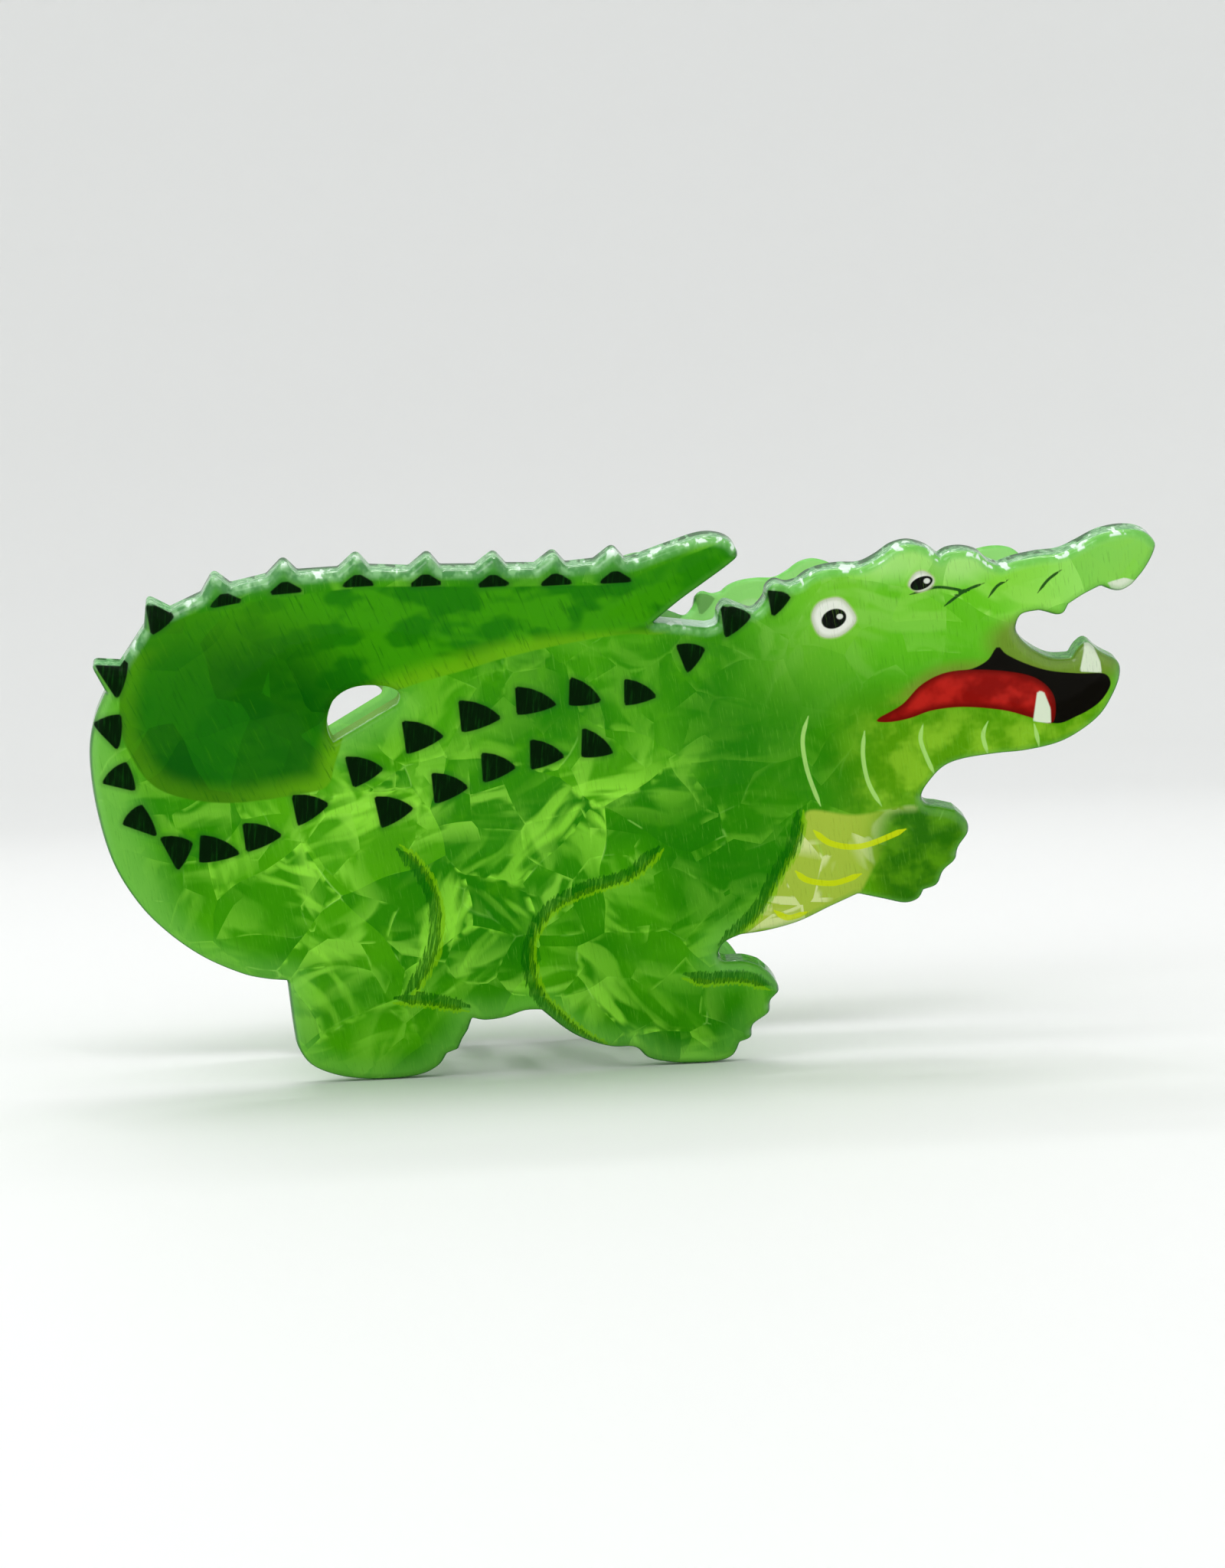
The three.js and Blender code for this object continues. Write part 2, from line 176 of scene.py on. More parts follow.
def resample(loop, step):
    """The closed loop again, with points about step apart."""
    ends = np.concatenate([loop, loop[:1]])
    length = np.concatenate([[0], np.cumsum(np.linalg.norm(np.diff(ends, axis=0), axis=1))])
    at = np.arange(0, length[-1], step)
    return np.stack([np.interp(at, length, ends[:, k]) for k in (0, 1)], -1)


LENGTH_TRIM = 0.9998       # keeps this finer outline inside the CAD sheet's, which has fewer points
OUTLINE = alligator() * (LENGTH_TRIM, 1.0)
WINDOW = tail_window()


def new_object(name, vertices, faces):
    """A smooth-shaded mesh object in the scene."""
    mesh = bpy.data.meshes.new(name)
    mesh.from_pydata([tuple(v) for v in vertices], [], [tuple(f) for f in faces])
    mesh.update()
    mesh.shade_smooth()
    obj = bpy.data.objects.new(name, mesh)
    bpy.context.scene.collection.objects.link(obj)
    return obj


def vector_attribute(obj, name, values):
    attribute = obj.data.attributes.new(name, "FLOAT_VECTOR", "POINT")
    attribute.data.foreach_set("vector", np.asarray(values, np.float32).ravel())


def stands_in(obj, material, body, node):
    """The object takes the place of a CAD node on a body, in a material."""
    obj.data.materials.append(material)
    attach(obj, body)
    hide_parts(node)


def nearest_edge(points, loops):
    """Distance to the nearest edge, positive in the material, and the unit vector out of it there."""
    points = np.asarray(points, float)
    best = np.full(len(points), 1e9)
    way = np.zeros((len(points), 2))
    inside = np.zeros(len(points), bool)
    for loop in loops:
        loop = np.asarray(loop, float)
        for p0, p1 in zip(loop, np.roll(loop, -1, axis=0)):
            d = p1 - p0
            rel = points - p0
            t = np.clip((rel @ d) / max(d @ d, 1e-12), 0, 1)
            gap = rel - t[:, None] * d
            dist = np.einsum("ij,ij->i", gap, gap)
            closer = dist < best
            best[closer] = dist[closer]
            way[closer] = -gap[closer]
            if d[1]:
                spans = (p0[1] > points[:, 1]) != (p1[1] > points[:, 1])
                inside ^= spans & (points[:, 0] < p0[0] + rel[:, 1] * d[0] / d[1])
    length = np.linalg.norm(way, axis=1)
    return np.where(inside, 1, -1) * np.sqrt(best), way / np.maximum(length, 1e-9)[:, None]


def signed_distance(points, loops):
    return nearest_edge(points, loops)[0]


def tube_faces(rings, sides):
    """Faces of a tube: quads between its rings, and fans to the two points that come after the rings."""
    def along(j):
        return (j + 1) % sides
    faces = [(k + j, k + along(j), k + sides + along(j), k + sides + j)
             for k in range(0, (rings - 1) * sides, sides) for j in range(sides)]
    last, first_tip = (rings - 1) * sides, rings * sides
    faces += [(first_tip, along(j), j) for j in range(sides)]
    return faces + [(first_tip + 1, last + j, last + along(j)) for j in range(sides)]


# ---- plate: flat faces, tumble-polished edges --------------------------------------------------------------
ROUND = 0.95                                # radius the tumbling leaves on the plates' edges
EDGE_STEP, GRID_STEP = 0.22, 0.34           # spacing of points along the edges and over the faces
ROUND_RINGS = (14, 28, 42, 56, 70, 90)      # degrees round the polished edge that have a ring of points


def rounding(inside, radius):
    """How far a face has dropped at this distance inside the outline, and the tilt of its normal there."""
    s = np.clip(1 - inside / radius, 0, 1)
    return radius * (1 - np.sqrt(1 - s * s * 0.98)), np.arcsin(s)


def runs_forward(loop, hole):
    """Whether the material is on the left of the loop."""
    area = np.sum(loop[:, 0] * np.roll(loop[:, 1], -1) - np.roll(loop[:, 0], -1) * loop[:, 1])
    return (area > 0) != hole


def loop_normals(loop, hole):
    """Unit vectors out of the material at each point of a loop."""
    ahead = np.roll(loop, -1, axis=0) - np.roll(loop, 1, axis=0)
    n = np.stack([ahead[:, 1], -ahead[:, 0]], -1) * (1 if runs_forward(loop, hole) else -1)
    return n / np.maximum(np.linalg.norm(n, axis=1), 1e-9)[:, None]


def cut_sheet(outline, window=None, radius=ROUND, edge_step=EDGE_STEP, grid_step=GRID_STEP):
    """A sawn face in 2-D: points, triangles, distance to the edge, way out, and the loops round it."""
    loops = [resample(loop, edge_step) for loop in (outline, window) if loop is not None]
    ring_points = []
    for loop, hole in zip(loops, (False, True)):
        n = loop_normals(loop, hole)
        for angle in ROUND_RINGS:
            inside = radius * (1 - math.cos(math.radians(angle)))
            ring = loop - n * inside
            ring_points.append(ring[signed_distance(ring, loops) > 0.93 * inside])
    low, high = outline.min(0), outline.max(0)
    x, v = np.meshgrid(np.arange(low[0], high[0], grid_step), np.arange(low[1], high[1], grid_step * 0.866))
    x = x + np.where(np.arange(len(x)) % 2, grid_step / 2, 0)[:, None]
    grid = np.stack([x.ravel(), v.ravel()], -1)
    grid = grid[signed_distance(grid, loops) > radius + 0.12]
    seeds = np.concatenate(loops + ring_points + [grid])
    edges, start = [], 0
    for loop in loops:
        edges += [(start + i, start + (i + 1) % len(loop)) for i in range(len(loop))]
        start += len(loop)
    points, _, triangles, origins, _, _ = delaunay_2d_cdt([Vector(p) for p in seeds], edges, [], 0, 1e-5)
    points = np.array([tuple(p) for p in points])
    triangles = np.array([t for t in triangles if len(t) == 3])
    centre = points[triangles].mean(1)
    triangles = triangles[signed_distance(centre, loops) > 0]
    a, b, c = (points[triangles[:, k]] for k in range(3))
    turn = (b - a)[:, 0] * (c - a)[:, 1] - (b - a)[:, 1] * (c - a)[:, 0]
    triangles[turn < 0] = triangles[turn < 0][:, ::-1]
    inside, way = nearest_edge(points, loops)
    on_edge = {}
    for k, group in enumerate(origins):
        for source in group:
            on_edge[source] = k
    rims, start = [], 0
    for loop, hole in zip(loops, (False, True)):
        ids = np.array([on_edge[start + i] for i in range(len(loop))])
        inside[ids] = 0
        way[ids] = loop_normals(loop, hole)
        rims.append(ids if runs_forward(loop, hole) else ids[::-1])
        start += len(loop)
    return points, triangles, inside, way, rims


def make_sheet(name, cut, thickness, radius, place, rear):
    """Both faces of a cut sheet and the wall between them, as one closed mesh.

    place() gives each point's position in the clip and the directions there of x, of v and of depth.
    """
    points, triangles, inside, way, rims = cut
    n = len(points)
    drop, tilt = rounding(inside, radius)
    sides = []
    for depth, sign in ((drop, -1), (thickness - drop, 1)):
        position, across, upward, inward = place(points[:, 0], points[:, 1], depth)
        out = way[:, :1] * across + way[:, 1:] * upward
        sides.append((position, sign * np.cos(tilt)[:, None] * inward + np.sin(tilt)[:, None] * out, depth))
    faces = [triangles, triangles[:, ::-1] + n]
    for ids in rims:
        ahead = np.roll(ids, -1)
        faces.append(np.stack([ids, ids + n, ahead + n, ahead], -1))
    verts = np.concatenate([side[0] for side in sides])
    normals = np.concatenate([side[1] for side in sides])
    faces = [tuple(f) for group in faces for f in group.tolist()]
    if rear:
        verts = verts * (1, -1, 1)
        normals = normals * (1, -1, 1)
        faces = [f[::-1] for f in faces]
    obj = new_object(name, verts * MM, faces)
    obj.data.normals_split_custom_set_from_vertices([tuple(q) for q in normals])
    depth = np.concatenate([side[2] for side in sides])
    vector_attribute(obj, "plate", np.column_stack([np.tile(points, (2, 1)), depth]))
    vector_attribute(obj, "edge", np.tile(np.column_stack([inside, way]), (2, 1)))
    return obj


def flat(x, v, depth):
    """Where a point of a plate stands, and its directions there."""
    one = np.ones((len(x), 1))
    return on_plate(x, v, depth), one * np.array([1.0, 0, 0]), one * UP, one * INWARD


PLATE_CUT = cut_sheet(OUTLINE, WINDOW)


# ---- printed picture: closed shapes and brush lines, in plate millimetres -----------------------------------
# each crest mark: x, v, tilt in degrees
CREST_MARKS = [(-36.7, 49.0, 8), (-31.2, 49.9, 2), (-24.6, 50.3, 0), (-18.4, 50.1, 0), (-12.2, 49.8, 0),
               (-6.4, 49.7, 0), (-0.9, 49.7, 0)]
SIDE_MARKS = [
    [(-43.8, 48.9), (-41.7, 48.0), (-43.5, 46.6)], [(-48.7, 43.5), (-46.1, 43.6), (-47.1, 40.6)],
    [(-49.2, 37.8), (-47.0, 38.6), (-47.4, 35.6)], [(-48.7, 32.2), (-46.7, 33.9), (-46.1, 31.4)],
    [(-47.1, 28.0), (-45.5, 29.6), (-44.4, 26.8)], [(-43.7, 26.3), (-41.1, 25.7), (-42.4, 23.3)],
    [(-40.0, 26.3), (-39.1, 26.6), (-36.8, 24.5), (-40.2, 23.9)], [(-36.0, 27.3), (-32.8, 26.1), (-35.8, 24.8)],
    [(-31.3, 29.9), (-28.3, 29.0), (-30.9, 27.2)], [(-26.2, 33.5), (-23.1, 32.3), (-25.6, 30.8)],
    [(-20.8, 36.8), (-17.4, 35.3), (-20.5, 33.9)], [(-15.5, 38.6), (-12.0, 36.9), (-15.3, 35.8)],
    [(-10.2, 39.7), (-6.8, 38.0), (-10.1, 37.3)], [(-5.1, 40.4), (-2.6, 38.2), (-5.2, 38.0)],
    [(0.0, 40.0), (2.6, 38.4), (0.0, 37.8)], [(4.9, 43.2), (7.2, 42.8), (5.8, 40.8)],
    [(9.1, 46.6), (11.5, 45.8), (9.4, 44.1)], [(13.5, 48.0), (15.2, 47.6), (13.8, 46.0)],
    [(-23.6, 29.4), (-20.4, 28.2), (-23.1, 26.6)], [(-18.2, 31.5), (-15.2, 30.1), (-18.0, 28.8)],
    [(-13.5, 33.3), (-10.7, 31.9), (-13.4, 30.7)], [(-8.9, 34.4), (-6.1, 32.8), (-8.9, 31.8)],
    [(-4.0, 35.3), (-1.5, 33.0), (-4.1, 32.8)]]
TAIL = [(12.0, 53.8), (4.0, 51.4), (-0.9, 49.6), (-6.4, 49.6), (-12.2, 49.7), (-18.4, 50.0), (-24.6, 50.1),
        (-32.5, 49.4), (-38.1, 48.5), (-41.8, 47.6), (-44.4, 46.0), (-46.0, 43.9), (-46.8, 40.9), (-46.9, 37.1),
        (-45.8, 33.9), (-44.1, 31.5), (-41.3, 30.2), (-37.7, 29.6), (-34.4, 29.7), (-31.2, 30.1), (-28.2, 30.8),
        (-27.2, 33.5), (-25.4, 37.4), (-21.0, 40.1), (-14.8, 41.8), (-11.2, 42.8), (-5.7, 43.9), (-0.2, 44.6),
        (4.0, 44.6), (9.0, 47.0), (12.5, 50.5)]
MOUTH_INK = [(35.1, 41.9), (36.0, 41.1), (37.9, 40.1), (40.2, 39.3), (43.2, 38.9), (45.4, 38.8), (46.1, 38.0),
             (45.9, 37.0), (44.9, 35.7), (43.0, 34.6), (40.6, 34.0), (36.0, 36.0), (32.4, 37.5), (30.5, 39.4),
             (32.7, 39.8), (34.2, 40.6)]
TONGUE_INK = [(23.7, 35.1), (26.1, 36.5), (27.9, 38.4), (30.1, 39.5), (32.7, 39.7), (36.1, 39.4), (38.7, 38.7),
              (40.3, 37.4), (40.9, 35.8), (40.6, 34.0), (38.7, 34.6), (35.9, 35.5), (32.1, 36.0), (29.1, 35.8),
              (26.9, 35.1), (24.9, 34.8)]
TEETH_INK = [[(39.1, 37.3), (39.7, 37.2), (40.4, 35.5), (40.5, 34.0), (38.8, 34.3)],
             [(43.7, 42.6), (44.3, 41.6), (45.0, 40.0), (45.2, 38.9), (43.1, 39.1)],
             [(45.4, 47.8), (46.3, 46.4), (47.3, 46.3), (48.4, 47.7), (47.0, 48.2)]]
BELLY_INK = [(17.4, 26.3), (22.0, 25.6), (27.7, 26.3), (26.9, 23.8), (24.5, 21.1), (22.7, 17.5), (22.4, 15.4),
             (16.7, 13.4), (13.0, 12.0), (10.2, 12.4), (13.4, 17.1), (15.3, 20.7), (16.7, 24.2)]
EYE_INK = [(17.4, 45.4), (17.8, 46.7), (18.9, 47.3), (20.3, 47.2), (21.6, 45.4), (21.1, 44.3), (19.8, 43.5),
           (18.2, 43.7)]
SMALL_EYE_INK = [(26.5, 48.6), (27.1, 49.5), (28.0, 49.6), (28.9, 48.8), (28.6, 48.0), (27.5, 47.6),
                 (26.6, 48.1)]
THROAT_LINES = [[(17.2, 35.7), (16.7, 33.4), (17.2, 30.2), (18.5, 26.6)],
                [(22.6, 34.0), (22.5, 31.5), (23.1, 28.7), (24.4, 26.3)],
                [(28.2, 34.5), (28.0, 32.9), (28.7, 30.9), (29.5, 29.2)],
                [(34.4, 34.4), (34.0, 33.0), (34.6, 31.0)], [(38.9, 34.0), (39.5, 31.6)]]
WRINKLES = [[(26.7, 47.4), (29.2, 48.0), (31.9, 47.5)], [(29.9, 46.1), (31.8, 47.5), (33.6, 48.2)],
            [(34.1, 46.8), (34.9, 47.9), (36.0, 48.5)], [(38.8, 47.1), (39.7, 48.3), (40.9, 49.2)]]
BELLY_LINES = [[(17.9, 24.1), (19.6, 22.7), (22.6, 22.3), (26.7, 23.8)],
               [(16.2, 20.0), (17.4, 19.0), (20.0, 18.6), (22.5, 19.4)],
               [(14.2, 16.0), (15.5, 15.2), (17.4, 15.7)]]
BRUSH_LINES = [[(3.0, 22.9), (1.1, 21.0), (-0.4, 20.1), (-4.1, 19.1), (-7.2, 17.4), (-8.9, 15.1), (-9.5, 12.6),
                (-8.8, 8.9), (-6.9, 6.3), (-4.3, 3.7), (-2.0, 2.2)],
               [(-21.5, 24.1), (-19.7, 22.0), (-18.5, 19.2), (-18.2, 15.9), (-18.8, 13.1), (-20.0, 10.7),
                (-21.2, 9.2)],
               [(-15.6, 7.4), (-19.3, 8.3), (-22.3, 8.6)], [(13.7, 8.1), (11.0, 9.1), (7.6, 9.1), (5.7, 9.6)],
               [(16.5, 25.9), (16.2, 23.1), (14.3, 19.5), (12.5, 16.0), (9.1, 12.7)]]


def crest_mark(x, v, tilt):
    """One flat mark of the row that stands on the tail's edge."""
    a = math.radians(tilt)
    return [(x + p * math.cos(a) - q * math.sin(a), v + p * math.sin(a) + q * math.cos(a))
            for p, q in ((-1.25, 0.1), (-0.3, 0.85), (0.2, 0.85), (1.25, 0.15))]


def side_mark(corners):
    """A mark on the side: a triangle whose upper and lower edges swell a little towards its point."""
    a, b, c = (np.array(p) for p in (corners[0], corners[-2], corners[-1]))
    loop = []
    for start, end, swell in ((a, b, 0.1), (b, c, 0.05)):
        way = end - start
        loop += [start + t * way + 4 * t * (1 - t) * swell * np.array([-way[1], way[0]]) for t in (0, 0.3, 0.6, 0.8)]
    return loop + [c]


def shape_distance(points, shapes):
    """Signed distance to the nearest of several closed shapes, positive inside it."""
    return np.max([signed_distance(points, [shape]) for shape in shapes], 0)


def line_offsets(points, lines, reach):
    """For brush lines: the offset across the nearest one, the distance to it, and how far its nearer end is."""
    best = np.full(len(points), 1e9)
    out = np.zeros((len(points), 3))
    for line in lines:
        p = spline(line, 6)
        steps = np.linalg.norm(np.diff(p, axis=0), axis=1)
        start = np.concatenate([[0], np.cumsum(steps)])
        for k, (a, b) in enumerate(zip(p[:-1], p[1:])):
            way = (b - a) / steps[k]
            rel = points - a
            along = np.clip(rel @ way, 0, steps[k])
            gap = np.linalg.norm(rel - along[:, None] * way, axis=1)
            closer = gap < best
            side = way[0] * rel[:, 1] - way[1] * rel[:, 0]
            end = np.minimum(start[k] + along, start[-1] - start[k] - along)
            best[closer] = gap[closer]
            out[closer] = np.stack([np.where(gap < reach, side, 9.0), gap, end], 1)[closer]
    return out


def print_plate(obj):
    """Writes the picture's distances on the plate's points, for the material to ink."""
    points = PLATE_CUT[0]
    crest = [crest_mark(*m) for m in CREST_MARKS]
    rounded = [spline(s, 6, closed=True) for s in (TAIL, MOUTH_INK, TONGUE_INK, BELLY_INK, EYE_INK, SMALL_EYE_INK)]
    tail, mouth, tongue, belly, eye, small_eye = (signed_distance(points, [s]) for s in rounded)
    marks = shape_distance(points, crest + [side_mark(m) for m in SIDE_MARKS])
    teeth = shape_distance(points, TEETH_INK)
    groups = {"ink_body": (tail, belly, marks), "ink_mouth": (mouth, tongue, teeth),
              "ink_eyes": (eye, small_eye, eye)}
    for name, values in groups.items():
        vector_attribute(obj, name, np.tile(np.stack(values, -1), (2, 1)))
    for name, lines, reach in (("throat", THROAT_LINES, 0.8), ("wrinkle", WRINKLES, 0.45),
                               ("belly_line", BELLY_LINES, 0.8), ("brush", BRUSH_LINES, 1.6)):
        vector_attribute(obj, name, np.tile(line_offsets(points, lines, reach), (2, 1)))


front_acetate = make_sheet("front_acetate", PLATE_CUT, SHEET, ROUND, flat, False)
rear_acetate = make_sheet("rear_acetate", PLATE_CUT, SHEET, ROUND, flat, True)
print_plate(front_acetate)
for layer in ("ink_body", "ink_mouth", "ink_eyes", "throat", "wrinkle", "belly_line", "brush"):
    values = np.empty(3 * len(front_acetate.data.vertices), np.float32)
    front_acetate.data.attributes[layer].data.foreach_get("vector", values)
    vector_attribute(rear_acetate, layer, values)


# ---- materials ------------------------------------------------------------------------------------------------
def srgb(r, g, b):
    """Linear colour of an 8-bit one."""
    return tuple((c / 255 / 12.92 if c <= 10 else ((c / 255 + 0.055) / 1.055) ** 2.4) for c in (r, g, b)) + (1.0,)


class Recipe:
    """Short ways to add nodes to a material or group."""

    def __init__(self, tree):
        self.tree = tree

    def put(self, socket, value):
        if isinstance(value, bpy.types.NodeSocket):
            self.tree.links.new(value, socket)
        else:
            socket.default_value = value

    def fill(self, n, **inputs):
        for key, value in inputs.items():
            self.put(n.inputs[key.replace("_", " ")], value)

    def node(self, kind, settings=None, *values, **inputs):
        """A node with its settings, its first inputs in order, and others by name."""
        n = self.tree.nodes.new(kind)
        for key, value in (settings or {}).items():
            setattr(n, key, value)
        for k, value in enumerate(values):
            self.put(n.inputs[k], value)
        self.fill(n, **inputs)
        return n

    def math(self, operation, *values):
        return self.node("ShaderNodeMath", {"operation": operation}, *values).outputs[0]

    def vector(self, operation, *values):
        return self.node("ShaderNodeVectorMath", {"operation": operation}, *values).outputs[0]

    def times(self, first, *rest):
        """The product of several masks."""
        for value in rest:
            first = self.math("MULTIPLY", first, value)
        return first

    def most(self, first, *rest):
        """The largest of several masks."""
        for value in rest:
            first = self.math("MAXIMUM", first, value)
        return first

    def step(self, value, low, high, to=(0.0, 1.0)):
        """Smooth change from to[0] to to[1] as the value goes from low to high."""
        return self.node("ShaderNodeMapRange", {"interpolation_type": "SMOOTHSTEP"}, value, low, high,
                         *to).outputs[0]

    def mix(self, factor, a, b):
        n = self.node("ShaderNodeMix", {"data_type": "RGBA"})
        for k, v in ((0, factor), (6, a), (7, b)):
            self.put(n.inputs[k], v)
        return n.outputs[2]

    def ink(self, under, colour, *masks):
        """A colour laid over another, as strong as the product of the masks."""
        return self.mix(self.times(*masks), under, colour)

    def split(self, vector):
        return self.node("ShaderNodeSeparateXYZ", Vector=vector).outputs

    def turn(self, vector, angle):
        return self.node("ShaderNodeVectorRotate", {"rotation_type": "Z_AXIS"}, Vector=vector,
                         Angle=angle).outputs[0]

    def attribute(self, name):
        return self.node("ShaderNodeAttribute", {"attribute_name": name}).outputs["Vector"]

    def mapping(self, vector, scale=(1, 1, 1), turn=(0, 0, 0), move=(0, 0, 0)):
        return self.node("ShaderNodeMapping", Vector=vector, Scale=scale, Rotation=turn,
                         Location=move).outputs[0]

    def noise(self, vector, scale, detail=3.0, roughness=0.5):
        return self.node("ShaderNodeTexNoise", Vector=vector, Scale=scale, Detail=detail,
                         Roughness=roughness).outputs["Fac"]

    def place(self, group, **inputs):
        return self.node("ShaderNodeGroup", {"node_tree": group}, **inputs).outputs

    def bump(self, strength, distance, height):
        return self.node("ShaderNodeBump", Strength=strength, Distance=distance, Height=height).outputs[0]

    def spot(self, at, centre, half, turn=0.0, soft=0.05):
        return self.place(SPOT, Vector=at, Centre=(*centre, 0), Half_width=half[0], Half_height=half[1],
                          Turn=math.radians(turn), Soft=soft)["Mask"]

    def brushed(self, at, degrees, fineness):
        return self.place(BRUSHED, Vector=at, Turn=math.radians(degrees), Fineness=fineness)["Line"]


def new_group(name, inputs, outputs):
    """An empty shader node group: sockets are floats, apart from the ones named Vector, Centre and Offsets."""
    tree = bpy.data.node_groups.new(name, "ShaderNodeTree")
    for labels, way in ((inputs, "INPUT"), (outputs, "OUTPUT")):
        for label in labels:
            kind = "NodeSocketVector" if label in ("Vector", "Centre", "Offsets") else "NodeSocketFloat"
            tree.interface.new_socket(label, in_out=way, socket_type=kind)
    return Recipe(tree), tree.nodes.new("NodeGroupInput").outputs, tree.nodes.new("NodeGroupOutput").inputs


def pearl_flake_group():
    """Pressed pearl flakes: angular leaves of random tone, each with a painted sheen and a painted highlight on its
    high side, meeting in folds that the materials paint as bright glints.
    """
    r, given, out = new_group("pearl flakes", ("Vector", "Size", "Fold"), ("Tone", "Sheen", "Fold", "Height"))
    scale = r.math("DIVIDE", 1.0, given["Size"])
    bend = r.node("ShaderNodeTexNoise", Vector=given["Vector"], Scale=0.09, Detail=1.0).outputs["Color"]
    bent = r.vector("MULTIPLY_ADD", bend, (5.0, 5.0, 2.0), given["Vector"])
    cells, borders = (r.node("ShaderNodeTexVoronoi", {"feature": feature}, Vector=bent, Scale=scale,
                             Randomness=1.0).outputs for feature in ("F1", "DISTANCE_TO_EDGE"))
    edges = borders["Distance"]
    chance = r.node("ShaderNodeSeparateColor", Color=cells["Color"]).outputs
    to_cell = r.vector("SUBTRACT", bent, cells["Position"])
    turned = r.turn(to_cell, r.times(chance["Red"], 2 * math.pi))
    slope = r.times(r.split(turned)["X"], scale)
    # glow: a painted sheen, brighter towards one side of each leaf; satin_highlight: painted highlight streaks inside
    # it
    glow = r.step(slope, -0.3, 0.5)
    satin_highlight = r.noise(r.mapping(turned, (0.75, 0.2, 0.5), move=(9, 5, 2)), 0.75, 1.5)
    satin_highlight = r.step(r.math("ADD", satin_highlight, r.times(chance["Blue"], 0.12)), 0.52, 0.68)
    folded = r.step(r.noise(given["Vector"], 0.3, 1.0), 0.6, 0.68)
    crease = r.times(r.step(edges, 0.0, given["Fold"], (1.0, 0.0)), folded)
    # painted highlight along the higher edge of each leaf
    ridge_highlight = r.times(r.step(edges, 0.0, 0.07, (1.0, 0.0)), r.step(slope, 0.0, 0.3),
                    r.step(r.noise(given["Vector"], 0.7, 1.0), 0.42, 0.6))
    r.put(out["Tone"], chance["Green"])
    r.put(out["Sheen"], r.most(r.times(glow, satin_highlight), ridge_highlight))
    r.put(out["Fold"], crease)
    r.put(out["Height"], r.math("ADD", slope, r.times(crease, 0.2)))
    return r.tree


def brushed_group():
    """Fine parallel brush or polishing lines at an angle."""
    r, given, out = new_group("brushed lines", ("Vector", "Turn", "Fineness"), ("Line",))
    turned = r.turn(given["Vector"], given["Turn"])
    r.put(out["Line"], r.noise(r.mapping(turned, (1.0, 0.07, 0.6)), given["Fineness"], 3.0, 0.65))
    return r.tree


def spot_group():
    """A soft or crisp oval on the plate: 1 inside, 0 outside."""
    r, given, out = new_group("oval spot", ("Vector", "Centre", "Half width", "Half height", "Turn", "Soft"),
                              ("Mask",))
    x, v, _ = r.split(r.turn(r.vector("SUBTRACT", given["Vector"], given["Centre"]), given["Turn"]))
    a = r.math("DIVIDE", x, given["Half width"])
    b = r.math("DIVIDE", v, given["Half height"])
    reach = r.math("SQRT", r.math("ADD", r.times(a, a), r.times(b, b)))
    r.put(out["Mask"], r.step(reach, r.math("SUBTRACT", 1.0, given["Soft"]),
                              r.math("ADD", 1.0, given["Soft"]), (1.0, 0.0)))
    return r.tree


def drawn_line_group():
    """A drawn line from its offsets: 1 on the line, thinner towards its ends."""
    r, given, out = new_group("drawn line", ("Offsets", "Shift", "Half width", "Taper"), ("Mask",))
    side, near, end = r.split(given["Offsets"])
    width = r.times(given["Half width"], r.step(end, -0.15, given["Taper"], (0.25, 1.0)))
    off = r.math("ABSOLUTE", r.math("ADD", side, given["Shift"]))
    core = r.step(r.math("SUBTRACT", off, width), -0.05, 0.05, (1.0, 0.0))
    reach = r.math("ADD", width, r.math("ABSOLUTE", given["Shift"]))
    held = r.step(r.math("SUBTRACT", near, reach), 0.02, 0.16, (1.0, 0.0))
    r.put(out["Mask"], r.times(core, held))
    return r.tree


PEARL = pearl_flake_group()
BRUSHED = brushed_group()
SPOT = spot_group()
DRAWN = drawn_line_group()


def plastic(name, colour=(0.1, 0.4, 0.05, 1)):
    """A new material, the short way to add nodes to it, and its shader."""
    material = bpy.data.materials.new(name)
    material.use_nodes = True
    shader = material.node_tree.nodes["Principled BSDF"]
    shader.inputs["Base Color"].default_value = colour
    return material, Recipe(material.node_tree), shader


# oval regions on the plate: centre, half width and height, turn in degrees, softness
CALM_REGIONS = (((4.0, 14.0), (10.0, 9.0), 0.55), ((-22.0, 6.0), (8.0, 6.0), 0.5),
                ((-42.0, 22.0), (9.0, 14.0), 0.6))        # thigh, hind foot, rump: and the pearl left there
BROW_HIGHLIGHTS = ((24.6, 50.6), (31.2, 50.2))
NECK_REGION = ((13.5, 31.0), (8.0, 12.0), 20, 0.75)
CURL_REGION = ((-37.5, 36.0), (13.0, 11.0), 0, 0.45)
TAIL_LIGHT_REGION = ((-40.0, 46.0), (9.0, 5.0), 0, 0.7)
ARM_REGION = ((29.0, 21.0), (5.2, 7.2), -12, 0.28)
GUM_REGION = ((40.8, 41.3), (6.6, 3.4), 12, 0.22)
JAW_GAP_REGION = ((41.0, 42.4), (6.0, 4.4), 0, 0.2)
SILL_REGION = ((-24.6, 37.0), (6.2, 4.4), 30, 0.15)
WINDOW_REGION = ((-27.0, 37.5), (7.5, 6.5), 0, 0.1)
LEDGE_REGION = ((5.6, 45.0), (3.6, 1.2), 0, 0.2)
# pupil centre, half sizes, and the centre of its glint
LARGE_PUPIL = ((19.5, 45.3), (1.2, 0.95), (20.05, 45.5))
SMALL_PUPIL = ((27.7, 48.45), (1.1, 0.62), (28.2, 48.65))


